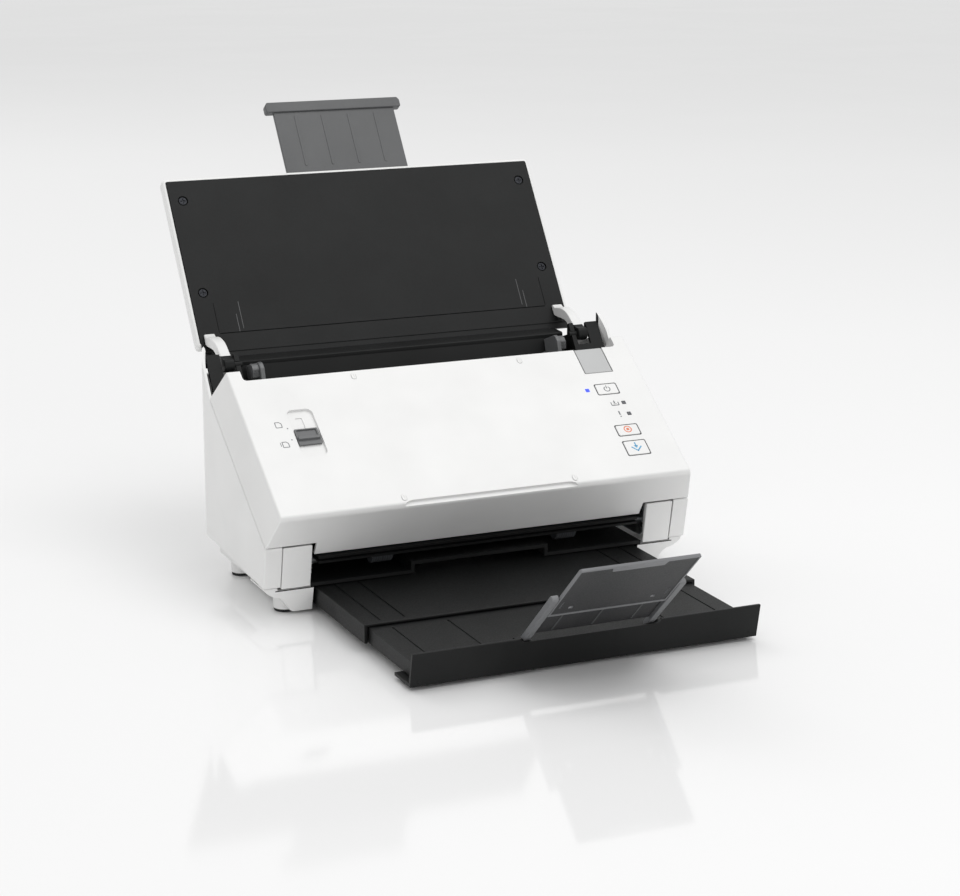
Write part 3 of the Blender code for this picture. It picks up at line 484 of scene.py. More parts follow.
def moulded_abs(name, low, high, roughness, grain_mm, depth_mm, gloss=0.5):
    """ABS from a spark-eroded mould: even colour with a faint drift, and a fine pebbled grain that breaks up
    the gloss. A lower gloss keeps a dark piece dark in a pale studio."""
    tree, shader, coords = new_finish(name, roughness, ior=1.53)
    shader.inputs["Specular IOR Level"].default_value = gloss
    drift = add_node(tree, "ShaderNodeTexNoise", {"Vector": coords, "Scale": 1 / (DRIFT_SIZE * MM),
                                                  "Detail": 2.0})
    grain = add_node(tree, "ShaderNodeTexNoise", {"Vector": coords, "Scale": 1 / (grain_mm * MM),
                                                  "Detail": 2.0}).outputs["Fac"]
    colour = add_node(tree, "ShaderNodeValToRGB", {"Fac": drift.outputs["Fac"]}, blend(low, high))
    sheen = add_node(tree, "ShaderNodeMapRange", {"Value": grain,
                                                  **gloss_range(roughness - 0.05, roughness + 0.07)})
    bump = add_node(tree, "ShaderNodeBump", {"Height": grain, "Strength": 0.35, "Distance": depth_mm * MM})
    tree.links.new(colour.outputs["Color"], shader.inputs["Base Color"])
    tree.links.new(sheen.outputs["Result"], shader.inputs["Roughness"])
    tree.links.new(bump.outputs["Normal"], shader.inputs["Normal"])


def make_plastics(colours):
    # White ABS casing: bright and slightly glossy. Its real grain is 0.1 mm, drawn at 0.5 mm so that it shows.
    moulded_abs("white_abs", (*colours.white_low, 1.0), (*colours.white_high, 1.0), 0.36, 0.5, 0.02)
    # Black ABS trays and hopper: satin, with a coarser 0.8 mm pebble that keeps fingerprints from showing.
    moulded_abs("black_abs", linear("#101111"), linear("#171818"), 0.5, 0.8, 0.05, 0.22)
    # Dark grey ABS of the stopper and the tray's extension: satin, a little lighter where light grazes it.
    moulded_abs("dark_grey_abs", linear("#4B4C4D"), linear("#545556"), 0.44, 0.8, 0.04)
    # The same ABS, one shade lighter, on the stopper's arms and rim: a painted highlight where light catches
    # them.
    moulded_abs("stopper_rim_highlight_abs", linear("#6E6F71"), linear("#7A7B7D"), 0.4, 0.8, 0.03)
    # The stopper's faces, a shade darker than the trays' extension, so that the painted highlight on their rims
    # stands out.
    moulded_abs("stopper_face_abs", linear("#303132"), linear("#39393A"), 0.5, 0.8, 0.04, 0.3)
    # Mid grey ABS of the edge guides.
    moulded_abs("mid_grey_abs", linear("#5E5F60"), linear("#6A6B6C"), 0.42, 0.7, 0.03)
    # Light grey ABS of the release lever and the USB tongue: finer and glossier.
    moulded_abs("light_grey_abs", linear("#B4B5B5"), linear("#BEBFBF"), 0.36, 0.5, 0.02)
    # Natural acetal gears: off-white, waxy, with light passing a little way in.
    _, shader, _ = mottled("cut_acetal", linear("#DAD7CC"), linear("#E4E2DA"), 6.0, 0.33, ior=1.48)
    shader.inputs["Subsurface Weight"].default_value = 0.15
    shader.inputs["Subsurface Scale"].default_value = 0.6 * MM


def make_metals():
    # Zinc plated steel sheet: a pale grey spangle of crystals 4 mm across, each with its own tone and gloss.
    tree, shader, coords = new_finish("zinc_plated_steel", 0.38, metallic=1.0)
    spangle = add_node(tree, "ShaderNodeTexVoronoi", {"Vector": coords, "Scale": 1 / (4.0 * MM)})
    tone = add_node(tree, "ShaderNodeSeparateColor", {"Color": spangle.outputs["Color"]}).outputs[0]
    colour = add_node(tree, "ShaderNodeValToRGB", {"Fac": tone}, blend(linear("#B6BABD"), linear("#CDD0D2")))
    sheen = add_node(tree, "ShaderNodeMapRange", {"Value": tone, **gloss_range(0.32, 0.46)})
    tree.links.new(colour.outputs["Color"], shader.inputs["Base Color"])
    tree.links.new(sheen.outputs["Result"], shader.inputs["Roughness"])
    # Black oxide steel screws: dark, with worn bright specks 0.6 mm across.
    mottled("black_oxide_steel", linear("#26272A"), linear("#3A3B3E"), 0.6, 0.35, metallic=1.0)
    # Ground steel of shafts and pins: fine rings 0.3 mm apart round the shaft, which stretch the highlight.
    tree, shader, coords = new_finish("ground_steel", 0.28, metallic=1.0)
    rings = add_node(tree, "ShaderNodeTexWave", {"Vector": coords, "Scale": 1 / (0.3 * MM) / WAVE_TURN,
                                                 "Distortion": 0.4}, bands_direction="X")
    sheen = add_node(tree, "ShaderNodeMapRange", {"Value": rings.outputs["Fac"], **gloss_range(0.2, 0.36)})
    tree.links.new(sheen.outputs["Result"], shader.inputs["Roughness"])
    shader.inputs["Base Color"].default_value = linear("#C3C5C7")


def make_rubbers():
    # Ground EPDM tyres: dull dark grey, with a fine tread left by the grinding wheel, a line each 0.8 mm.
    tree, shader, coords = new_finish("ground_rubber", 0.82, ior=1.52)
    tread = add_node(tree, "ShaderNodeTexWave", {"Vector": coords, "Scale": 1 / (0.8 * MM) / WAVE_TURN,
                                                 "Distortion": 1.5}, bands_direction="X").outputs["Fac"]
    colour = add_node(tree, "ShaderNodeValToRGB", {"Fac": tread}, blend(linear("#35373A"), linear("#46494C")))
    bump = add_node(tree, "ShaderNodeBump", {"Height": tread, "Strength": 0.5, "Distance": 0.1 * MM})
    tree.links.new(colour.outputs["Color"], shader.inputs["Base Color"])
    tree.links.new(bump.outputs["Normal"], shader.inputs["Normal"])
    # Moulded rubber feet: nearly black, dull, with dust in the grain.
    mottled("moulded_rubber", linear("#1B1B1C"), linear("#2B2B2C"), 1.2, 0.9, ior=1.52)
    # Dark grey rings under the gaps round the buttons: painted shade in those gaps, dull, with a faint bloom.
    mottled("gap_shade_rubber", linear("#4A4B4D"), linear("#58595B"), 0.8, 0.6)


def make_others(colours):
    # Float glass over the sensors: clear with a faint green edge and a mirror-like face.
    tree, shader, coords = new_finish("float_glass", 0.04, ior=1.52)
    shader.inputs["Base Color"].default_value = linear("#DDEBE6")
    shader.inputs["Transmission Weight"].default_value = 0.85
    smears = add_node(tree, "ShaderNodeTexNoise", {"Vector": coords, "Scale": 1 / (30.0 * MM), "Detail": 3.0})
    sheen = add_node(tree, "ShaderNodeMapRange", {"Value": smears.outputs["Fac"], **gloss_range(0.03, 0.06)})
    tree.links.new(sheen.outputs["Result"], shader.inputs["Roughness"])
    # Green solder mask on a circuit board: glossy, with paler tracks 5 mm long showing through it.
    tree, shader, coords = new_finish("solder_mask", 0.3)
    tracks = add_node(tree, "ShaderNodeTexBrick", {
        "Vector": coords, "Scale": 1 / (5.0 * MM), "Mortar Size": 0.03, "Color1": linear("#0E5A2B"),
        "Color2": linear("#11502A"), "Mortar": linear("#2B8A4C")})
    tree.links.new(tracks.outputs["Color"], shader.inputs["Base Color"])
    # Clear polycarbonate lamp lens, lit from behind, so that it glows a little unevenly.
    tree, shader, glow = mottled("lit_polycarbonate", linear("#0E1FB8"), (*colours.lamp, 1.0), 1.5, 0.25,
                                 ior=1.58)
    tree.links.new(glow, shader.inputs["Emission Color"])
    shader.inputs["Emission Strength"].default_value = 1.6
    # The same lens unlit: smoky dark grey with a glossy face.
    mottled("unlit_polycarbonate", linear("#3B3D42"), linear("#4A4C52"), 1.5, 0.2, ior=1.58)
    # Pad printing inks: flat, slightly rough films with a faint mottle.
    mottled("grey_ink", linear("#6F7174"), linear("#7C7E81"), 0.8, 0.6)
    mottled("orange_ink", (*colours.stop_sign, 1.0), linear("#EA8560"), 0.8, 0.6)
    mottled("blue_ink", (*colours.start_sign, 1.0), linear("#63A9D2"), 0.8, 0.6)


# ---------------------------------------------------------------- the settings a user would change


def colour_property(name, description, code):
    return FloatVectorProperty(name=name, description=description, subtype="COLOR", size=3, min=0.0, max=1.0,
                               default=linear(code)[:3])


class ScannerColours(bpy.types.PropertyGroup):
    white_low: colour_property("White, deep", "Deeper tone of the white casing", "#E9E9E8")
    white_high: colour_property("White, bright", "Brighter tone of the white casing", "#EFEFEE")
    lamp: colour_property("Lamp", "Colour of the lit power lamp", "#2442F5")
    stop_sign: colour_property("Stop sign", "Ink of the stop button's sign", "#E07B54")
    start_sign: colour_property("Start sign", "Ink of the start button's sign", "#4F9BC4")
    floor: FloatVectorProperty(name="Floor", description="Colour of the floor", subtype="COLOR", size=3,
                               min=0.0, max=1.0, default=(0.93, 0.93, 0.93))


class ScannerSizes(bpy.types.PropertyGroup):
    casing_edge: FloatProperty(name="Casing edge", description="Radius of the white casing's edges",
                               subtype="DISTANCE", unit="LENGTH", default=1.0 * MM, min=0.2 * MM, max=2.0 * MM)
    tray_edge: FloatProperty(name="Tray edge", description="Radius of the output tray's edges",
                             subtype="DISTANCE", unit="LENGTH", default=0.6 * MM, min=0.1 * MM, max=0.8 * MM)
    teeth: IntProperty(name="Thumb teeth", description="Teeth on the thumb edge of each edge guide", default=6,
                       min=2, max=10)
    lens: FloatProperty(name="Focal length", description="Focal length of the camera",
                        subtype="DISTANCE_CAMERA", unit="CAMERA", default=91.0, min=20.0, max=200.0)


def sizes():
    return bpy.context.scene.scanner_sizes


class SCANNER_OT_materials(bpy.types.Operator):
    """Makes the plastics, metals, rubbers, glass, lamps and inks"""

    bl_idname = "scanner.materials"
    bl_label = "Materials"

    def execute(self, context):
        make_plastics(context.scene.scanner_colours)
        make_metals()
        make_rubbers()
        make_others(context.scene.scanner_colours)
        return {"FINISHED"}


# ---------------------------------------------------------------- casing


def cover_body():
    """The sloping cover before its openings: a tapered block with an ear at each rear corner."""
    ear = yz(slope, 118.6)
    outline = [(0.2, 47.9), (-12.5, 67.9), (-12.5, 71.2), ear, (105.4, 121.2)]
    body = solid("cover_casing", outline, across, -HALF_W, HALF_W)
    a = math.radians(SLOPE)
    for vertex in body.data.vertices:
        y, z = vertex.co.y / MM + ORIGIN_Y - SLOPE_Y, vertex.co.z / MM - SLOPE_Z
        share = min(max(1 - (y * math.sin(a) - z * math.cos(a)) / SEAM_DEPTH, 0.0), 1.0)
        vertex.co.x *= 1 - share * (1 - SLOPE_HALF_W / HALF_W)
    return soften(body, sizes().casing_edge / MM, 4, 14.0)


def slope_block(name, x0, x1, s0, s1, d0, d1, corner, edge=0.0):
    return solid(name, rounded(x0, x1, s0, s1, corner), slope, d0, d1, edge)


class SCANNER_OT_cover(bpy.types.Operator):
    """Builds the white cover with its openings, ears and finger scoop"""

    bl_idname = "scanner.cover"
    bl_label = "Cover casing"

    def execute(self, context):
        body = cover_body()
        hollow = [(3.0, 40.0), (2.8, 47.8), (-3.0, 58.4), (-9.2, 67.8), (-9.4, 70.6),
                  yz(slope, 106.1, WALL), (98.2, 98.2), (100.0, 80.0)]
        gap = [yz(slope, 109.5), (70.0, 170.0), (140.0, 170.0), (140.0, 98.0), (101.4, 98.0)]
        cut(body, solid("hollow", hollow, across, -139.6, 139.6),
            solid("between_ears", gap, across, -133.2, 133.2, 2.6, 5))
        lip = [(-0.2, 48.6), (2.4, 48.6), (7.4, 40.7), (7.2, 39.6), (5.6, 39.4)]
        fuse(body, solid("lip", lip, across, -114.4, 114.4, 0.3, 2))
        scoop = [(-60.0, -14.0), (60.0, -14.0), (60.0, -5.0), (58.8, -3.8), (56.6, -2.7), (54.0, -2.3),
                 (-54.0, -2.3), (-56.6, -2.7), (-58.8, -3.8), (-60.0, -5.0)]
        cutters = [solid("scoop", scoop, slope, -4.0, 2.0),
                   slope_block("lever_slot", -108.6, -104.0, 54.6, 75.4, -2, 8, 1.0),
                   slope_block("lever_recess", -113.6, -96.2, 41.6, 81.2, -2, 1.8, 4.2),
                   slope_block("release_gap", 101.5, 122.9, 87.0, 130.0, -3, 8, 0.6)]
        for x in (-NUB_X, NUB_X):
            for s in NUB_S:
                cutters.append(slope_block("nub_pit", x - 1.8, x + 1.8, s - 2.7, s + 2.7, -2, 0.5, 1.75))
        for name, (x0, x1, s0, s1) in (("power", POWER_KEY), ("stop", STOP_KEY), ("start", START_KEY)):
            cutters.append(slope_block(name, x0 - 0.2, x1 + 0.2, s0 - 0.2, s1 + 0.2, -2, 8, 1.3))
        for name, (x, s) in LAMPS.items():
            cutters.append(slope_block(name, x - 1.5, x + 1.5, s - 1.5, s + 1.5, -2, 8, 0.4))
        cut(body, *cutters)
        deliver(body, "cover", "white_abs", ["cover_shell"])
        self.nubs()
        return {"FINISHED"}

    def nubs(self):
        """Four small stops with a slot across each, moulded into the slope's edges."""
        spot = slope(0.0, 0.0, 0.3)
        nub = solid("nub", rounded(-1.4, 1.4, -2.3, 2.3, 1.35, 5), slope, 0.6, -0.35)
        cut(nub, solid("nub_slot", rounded(-0.35, 0.35, -1.5, 1.5, 0.3, 3), slope, -0.1, -2.0))
        at_origin(nub, spot)
        spots = [slope(x, s, 0.3) for x in (-NUB_X, NUB_X) for s in NUB_S]
        nubs = repeat("cover_nubs", nub, spots, "white_abs")
        deliver(nubs, "cover", None)


class SCANNER_OT_sides(bpy.types.Operator):
    """Builds the white covers of the base: two sides, the back and the plate over the output tray"""

    bl_idname = "scanner.sides"
    bl_label = "Base casing"

    def execute(self, context):
        for name, side in (("left_side_cover", -1), ("right_side_cover", 1)):
            self.side(name, side)
        self.back()
        self.bottom()
        return {"FINISHED"}

    def plan(self, inset):
        """The base seen from above, with its two round rear corners."""
        points = [(-HALF_W + inset, -30.0)]
        centre_x, centre_y, radius = HALF_W - REAR_R, REAR_Y - REAR_R, REAR_R - inset
        steps = 16
        for sign, first in ((-1, 180.0), (1, 90.0)):
            for step in range(steps + 1):
                a = math.radians(first - step * 90 / steps)
                points.append((sign * centre_x + radius * math.cos(a), centre_y + radius * math.sin(a)))
        return points + [(HALF_W - inset, -30.0)]

    def side(self, name, side):
        """White outside, and black on the inner face of the shoulder that carries the tray's hinge."""
        outline = [(5.6, 20.2), (0.0, 47.2), (105.9, 120.6), (112.0, 129.2), (119.0, 139.6), (126.0, 148.4),
                   (128.6, 150.4), (133.0, 150.6), (136.6, 147.6), (139.2, 139.0), (REAR_Y, 130.0),
                   (138.4, 100.0), (135.4, 64.0), (132.4, 38.0), (127.0, 28.5), (118.0, 25.6), (95.0, 25.0)]
        inner = [(8.2, 22.4), (2.6, 44.0), (-4.0, 60.0), (90.0, 125.0), (112.0, 160.0), (128.0, 146.4),
                 (132.6, 147.6), (134.6, 146.0), (137.0, 138.0), (137.6, 130.0), (136.2, 100.0), (133.2, 64.0),
                 (130.4, 40.0), (125.6, 30.6), (117.6, 27.8), (95.0, 27.2)]
        cover = solid(name + "_casing", outline, across, *ends(side, 123.6, HALF_W), 1.0, 3)
        combine(cover, "INTERSECT", [solid("plan", self.plan(0.0), level, -10, 200)])
        hollow = solid("side_hollow", inner, across, *ends(side, 120.0, HALF_W - WALL))
        combine(hollow, "INTERSECT", [solid("inner_plan", self.plan(WALL), level, -10, 200)])
        x0, x1 = ends(side, 110, 143.6)
        a0, a1 = ends(side, 110, 137.2)
        s0, s1 = ends(side, 110, SKIRT_OUT + 0.3)
        cut(cover, hollow,
            solid("shoulder", rectangle(100, 160, 132, 170), across, x0, x1),
            solid("arm_well", rectangle(-10, 24, 10, 60), across, a0, a1),
            solid("skirt_well", rectangle(-10, 94, 10, 18.2), across, s0, s1))
        two_tone(cover, "white_abs", "black_abs",
                 lambda face: face.normal.x * side < -0.7 and face.center.z > 130 * MM)
        deliver(cover, "base", None, [name])

    def back(self):
        outline = [(REAR_Y - 0.3, 124.4), (138.4, 100.0), (135.4, 64.0), (132.4, 38.0), (127.0, 26.5),
                   (118.3, 18.4), (118.3, 21.4), (125.4, 28.8), (130.4, 40.0), (133.2, 64.0), (136.2, 100.0),
                   (137.2, 124.4)]
        back = solid("back_casing", outline, across, -123.3, 123.3, 0.5, 2)
        cut(back,
            solid("usb_window", rounded(-97.0, -83.0, 44.0, 57.0, 1.5), facing, 120, 150),
            solid("power_window", rounded(-69.4, -58.6, 45.1, 55.9, 5.3, 8), facing, 120, 150))
        deliver(back, "base", "white_abs", ["rear_cover"])

    def bottom(self):
        """The skirts are white. The plate between them, which only the trays see, is black, partly as painted
        shade under the cover.
        """
        half = [(46.0, 24.0), (46.0, DECK_Z), (SKIRT_IN, DECK_Z), (SKIRT_IN, 2.0), (127.0, 2.0), (129.0, 3.0),
                (131.6, 6.4), (134.4, 10.6), (137.4, 12.8), (SKIRT_OUT, 13.4), (SKIRT_OUT, 18.0), (116.7, 18.0),
                (116.7, 20.4), (48.2, 20.4), (48.2, 26.2)]
        plate = solid("bottom_casing", half + [(-x, z) for x, z in reversed(half)], facing, 7.2, 118.0)
        for side in (-1, 1):
            fuse(plate, solid("ledge", rectangle(34, 117.9, 2.6, 4.8), across,
                              *ends(side, 110.6, 115.5)))
            flange = [(side * x, z) for x, z in ((138.5, 12.7), (141.5, 14.0), (144.5, 15.9), (146.8, 18.2),
                                                 (147.4, 19.7), (138.5, 19.7))]
            fuse(plate, solid("toe_flange", flange, facing, 7.4, 34.0))
        for _, x, y in foot_places():
            fuse(plate, solid("foot_boss", disc(x, y, 7.4, 10), level, 1.9, 16.0))
        cut(plate, solid("slant", [(0, 30), (0, -4), (12.9, -4), (7.1, 17.7), (7.1, 30)], across, -150, 150))
        # black between the skirts: partly the plate's own colour, partly painted shade under the cover
        two_tone(plate, "white_abs", "black_abs",
                 lambda face: abs(face.center.x) < (SKIRT_IN + 0.4) * MM and face.normal.y < 0.8)
        deliver(plate, "base", None, ["bottom_cover"])


class SCANNER_OT_arms(bpy.types.Operator):
    """Builds the two white arms below the cover's front corners, each with its steel hinge pin"""

    bl_idname = "scanner.arms"
    bl_label = "Cover arms"

    def execute(self, context):
        for name, side in (("left_arm_cover", -1), ("right_arm_cover", 1)):
            arm = solid(name + "_casing", [(0.1, 47.2), (5.6, 19.0), (11.0, 19.4), (16.4, 27.0), (16.4, 47.2)],
                        across, *ends(side, 117.2, 136.5), 0.7, 3)
            cut(arm,
                solid("arm_hollow", [(2.7, 50.0), (7.6, 21.2), (10.2, 21.4), (30.0, 34.0), (30.0, 50.0)],
                      across, *ends(side, 114.2, 134.8)),
                solid("plate_gap", rectangle(5.6, 40, 15, 60), across, *ends(side, 110, 121.4)))
            deliver(arm, "cover", "white_abs", [name])
            x0, x1 = ends(side, 118.6, 135.4)
            profile = [(x0, 0.02), (x0, 1.7), (x0 + 0.3, 2.0), (x1 - 0.3, 2.0), (x1, 1.7), (x1, 0.02)]
            deliver(turned(name + "_hinge_pin", profile, axis_of("cover"), 24), "cover", "ground_steel")
        return {"FINISHED"}


# ---------------------------------------------------------------- controls


class SCANNER_OT_controls(bpy.types.Operator):
    """Builds the buttons, the lamps, the two levers and their printed signs"""

    bl_idname = "scanner.controls"
    bl_label = "Buttons, lamps and levers"

    def execute(self, context):
        for name, (x0, x1, s0, s1) in (("power", POWER_KEY), ("stop", STOP_KEY), ("start", START_KEY)):
            key = slope_block(name + "_key", x0 + 0.6, x1 - 0.6, s0 + 0.6, s1 - 0.6, 7.6, -0.25, 1.1, 0.35)
            deliver(key, name + "_button", "white_abs", [name + "_button"])
            # a dark ring under each key's gap: painted shade in the gap
            gap_shade = slope_block(name + "_seal", x0 - 0.15, x1 + 0.15, s0 - 0.15, s1 + 0.15, 0.25, 3.0, 1.25)
            cut(gap_shade, slope_block("seal_hole", x0 + 0.5, x1 - 0.5, s0 + 0.5, s1 - 0.5, -1.0, 9.0, 1.1))
            deliver(gap_shade, "cover", "gap_shade_rubber")
        for name, (x, s) in LAMPS.items():
            lens = slope_block(name + "_lens", x - 1.4, x + 1.4, s - 1.4, s + 1.4, 8.6, -0.15, 0.4, 0.2)
            finish, slot = (("lit_polycarbonate", "led_blue") if name == "power_led"
                            else ("unlit_polycarbonate", "led_dark"))
            deliver(lens, "cover", finish, [name])
        self.release_lever()
        self.separation_lever()
        self.signs()
        return {"FINISHED"}

    def release_lever(self):
        """It lies flush in the top edge and turns over it."""
        top = [yz(slope, 87.6), yz(slope, 108.4), yz(slope, 109.6, 0.5), yz(slope, 109.9, 1.4),
               yz(slope, 109.8, 7.4), yz(slope, 108.0, 7.4), yz(slope, 107.6, 2.4), yz(slope, 106.8, 1.8),
               yz(slope, 93.0, 1.8), yz(slope, 93.0, 5.4), yz(slope, 89.0, 5.4), yz(slope, 89.0, 1.8),
               yz(slope, 87.6, 1.8)]
        cap = solid("release_lever_cap", top, across, 102.2, 122.2, 0.35, 3)
        deliver(cap, "release_lever", "light_grey_abs", ["cover_release_lever"])

    def separation_lever(self):
        """A block with a raised thumb rib, and a stem that goes down through the slot."""
        knob = slope_block("separation_knob", -112.8, -97.2, 51.6, 65.0, 1.4, 0.1, 0.8, 0.3)
        rib = [yz(slope, 55.0, 0.3), yz(slope, 55.4, -1.5), yz(slope, 57.6, -1.5), yz(slope, 58.2, 0.3)]
        cut(knob, slope_block("thumb_hollow", -111.6, -98.4, 58.6, 64.0, -1.0, 0.9, 0.6))
        fuse(knob, solid("thumb_rib", rib, across, -112.3, -97.7, 0.25, 2),
             slope_block("stem", -108.2, -104.4, 55.2, 61.4, 9.0, 1.0, 0.8))
        deliver(knob, "separation_lever", "mid_grey_abs", ["separation_lever"])
        shutter = slope_block("slot_shutter", -110.2, -102.6, 50.6, 77.6, 2.9, 2.35, 0.6)
        deliver(shutter, "separation_lever", "white_abs")

    def signs(self):
        """Small signs in pad printing ink, a few hundredths of a millimetre thick."""
        power = [band(111.85, 72.0, 1.75, 2.4, 122, 418), stroke(111.85, 72.4, 111.85, 75.0, 0.65)]
        stop = [band(112.3, 35.4, 2.15, 2.85, 0, 180), band(112.3, 35.4, 2.15, 2.85, 180, 360),
                rounded(111.3, 113.3, 34.4, 36.4, 0.3, 3)]
        begin = [stroke(108.7, 20.0, 112.5, 16.2, 0.9), stroke(112.1, 16.2, 115.9, 20.0, 0.9),
                 stroke(112.3, 20.6, 112.3, 23.6, 0.9), [(110.7, 21.0), (113.9, 21.0), (112.3, 18.6)]]
        grey = [stroke(109.8, 57.2, 115.0, 57.2, 0.6), stroke(109.8, 57.2, 109.8, 60.0, 0.6),
                stroke(115.0, 57.2, 115.0, 60.0, 0.6), stroke(111.2, 58.4, 113.6, 58.4, 0.5),
                stroke(112.4, 61.4, 112.4, 59.4, 0.6), [(111.5, 60.2), (113.3, 60.2), (112.4, 59.0)],
                stroke(112.3, 48.5, 112.3, 51.8, 0.95), rounded(111.8, 112.8, 46.6, 47.6, 0.4, 3)]
        for s in (69.7, 53.1):
            low, high, left, right = s - 2.2, s + 2.2, -123.6, -119.6
            grey += [stroke(left, low, right, low, 0.5), stroke(left, high, -121.0, high, 0.5),
                     stroke(left, low, left, high, 0.5), stroke(right, low, right, s + 0.9, 0.5),
                     stroke(right, s + 0.9, -121.0, high, 0.5)]
        grey += [stroke(-124.8, 51.8, -124.8, 55.0, 0.4), rounded(-117.0, -116.1, 65.7, 66.6, 0.4, 3),
                 rounded(-117.0, -116.1, 56.1, 57.0, 0.4, 3)]
        for name, outlines, surface, body, finish in (
                ("power_sign", power, -0.25, "power_button", "grey_ink"),
                ("stop_sign", stop, -0.25, "stop_button", "orange_ink"),
                ("start_sign", begin, -0.25, "start_button", "blue_ink"),
                ("cover_signs", grey, 0.0, "cover", "grey_ink")):
            flats = [solid(name, outline, slope, surface + 0.05, surface - 0.04) for outline in outlines]
            deliver(gather(name + "_ink", *flats), body, finish, grade=False)


# ---------------------------------------------------------------- input tray


class SCANNER_OT_input_tray(bpy.types.Operator):
    """Builds the input tray: its skin, its plate with screws and marks, its arms and its extension"""

    bl_idname = "scanner.input_tray"
    bl_label = "Input tray"

    def execute(self, context):
        half, top = TRAY_HALF_W, TRAY_LENGTH
        skin = solid("tray_skin_casing", rounded(-half, half, 0.0, top, 2.6), tray, -9.0, -0.8, 1.6, 4)
        cut(skin,
            solid("tray_hollow", rounded(2.0 - half, half - 2.0, 2.0, top - 2.0, 1.4), tray, -7.2, 3.0),
            solid("tray_mouth", rounded(-46.4, 46.4, top - 5.0, top + 5.0, 0.5), tray, -7.2, -3.2))
        deliver(skin, "tray", "white_abs", ["tray_skin"])
        self.plate(half - 2.4)
        self.arms()
        self.screws()
        self.marks()
        self.extension()
        return {"FINISHED"}

    def plate(self, half):
        plate = solid("tray_plate_face", rounded(-half, half, 2.4, TRAY_LENGTH - 2.4, 1.4), tray, -2.6, 0.0,
                      0.3, 2)
        fuse(plate,
             solid("plate_lip", rounded(-half + 0.2, half - 0.2, -4.6, 4.0, 1.0), tray, -0.6, -0.05),
             solid("plate_flap", rounded(-134.6, 134.6, -9.0, 0.0, 0.6), tray, -2.2, -0.55))
        apron = [(155.9, 136.6), (142.2, 136.25), (141.1, 135.4), (140.9, 131.6), (142.3, 131.6),
                 (142.5, 134.7), (156.6, 135.1)]
        fuse(plate, solid("plate_apron", apron, across, -123.0, 123.0))
        groove = [solid("flap_seam", rounded(-120.6, 120.6, 8.3, 8.9, 0.2, 2), tray, -1.0, 1.0)]
        for side in (-1, 1):
            for s in SCREW_S:
                groove.append(solid("screw_seat", disc(side * SCREW_X, s, 3.6), tray, -1.4, 3.0))
                groove.append(solid("screw_hole", disc(side * SCREW_X, s, 1.5, 5), tray, -4.0, 3.0))
            groove.append(solid("side_seam", rounded(*ends(side, 120.9, 121.3), 9.4, 31.0, 0.15, 2), tray,
                                -0.5, 1.0))
        cut(plate, *groove)
        deliver(plate, "tray", "black_abs", ["tray_plate"])

    def arms(self):
        """Swan-neck arms, white, that turn on pins in the base."""
        upper = [yz(tray, 8.0, 0.3), yz(tray, 8.0, 2.2), yz(tray, 5.0, 4.2), (150.0, 151.6), (140.0, 150.0),
                 (131.0, 144.8), (126.6, 142.4), (121.6, 141.9), (119.6, 137.9), (121.0, 134.6), (125.2, 133.2),
                 (129.8, 135.0), (134.0, 139.4), (142.0, 143.6), (149.0, 144.4), yz(tray, 1.0, 0.3)]
        outline = upper[:2] + smooth_curve(upper)[8:-4] + upper[-1:]
        for name, side in (("left_tray_arm", -1), ("right_tray_arm", 1)):
            arm = soften(solid(name + "_neck", outline, across, *ends(side, 125.4, 132.6)), 0.7, 3, 50.0)
            below = [(100, 100), (180, 100), (180, 136), (100, 147.5)]
            cut(arm, solid("below_neck", below, across, -150, 150))
            hub = soften(solid(name + "_hub", outline, across, *ends(side, 125.5, 132.5)), 0.7, 3, 50.0)
            above = [(100, 147.4), (180, 135.9), (180, 200), (100, 200)]
            cut(hub, solid("above_hub", above, across, -150, 150))
            deliver(arm, "tray", "white_abs", [name], sharp=50)
            deliver(hub, "tray", "black_abs", sharp=50)
            x0, x1 = ends(side, 119.6, 125.2)
            profile = [(x0, 0.02), (x0, 1.7), (x0 + 0.3, 2.0), (x1, 2.0), (x1, 0.02)]
            deliver(turned(name + "_pin", profile, axis_of("tray"), 24), "tray", "black_abs")

    def screws(self):
        """Cross-recess pan head screws."""
        spot = tray(0.0, 0.0, -1.2)
        head = solid("screw_head", disc(0.0, 0.0, 3.0), tray, -1.2, -0.3, 0.5, 3)
        cut(head, solid("cross_a", rounded(-1.9, 1.9, -0.4, 0.4, 0.3, 3), tray, -0.9, 1.0),
            solid("cross_b", rounded(-0.4, 0.4, -1.9, 1.9, 0.3, 3), tray, -0.9, 1.0))
        fuse(head, solid("shank", disc(0.0, 0.0, 1.1, 4), tray, -6.4, -1.1))
        at_origin(head, spot)
        spots = [tray(side * SCREW_X, s, -1.2) for s in SCREW_S for side in (-1, 1)]
        screws = repeat("tray_screw_heads", head, spots, "black_oxide_steel")
        deliver(screws, "tray", None, [f"tray_screw_{number}" for number in range(1, 5)])

    def marks(self):
        """Raised lines that show where each sheet width ends."""
        lines = []
        for side in (-1, 1):
            for x, s0, s1 in ((103.5, 11.0, 31.0), (106.6, 8.9, 22.0)):
                x0, x1 = ends(side, x - 0.2, x + 0.2)
                lines.append(solid("line", rounded(x0, x1, s0, s1, 0.18, 2), tray, -0.1, 0.08))
        deliver(gather("tray_width_marks", *lines), "tray", "dark_grey_abs", grade=False)

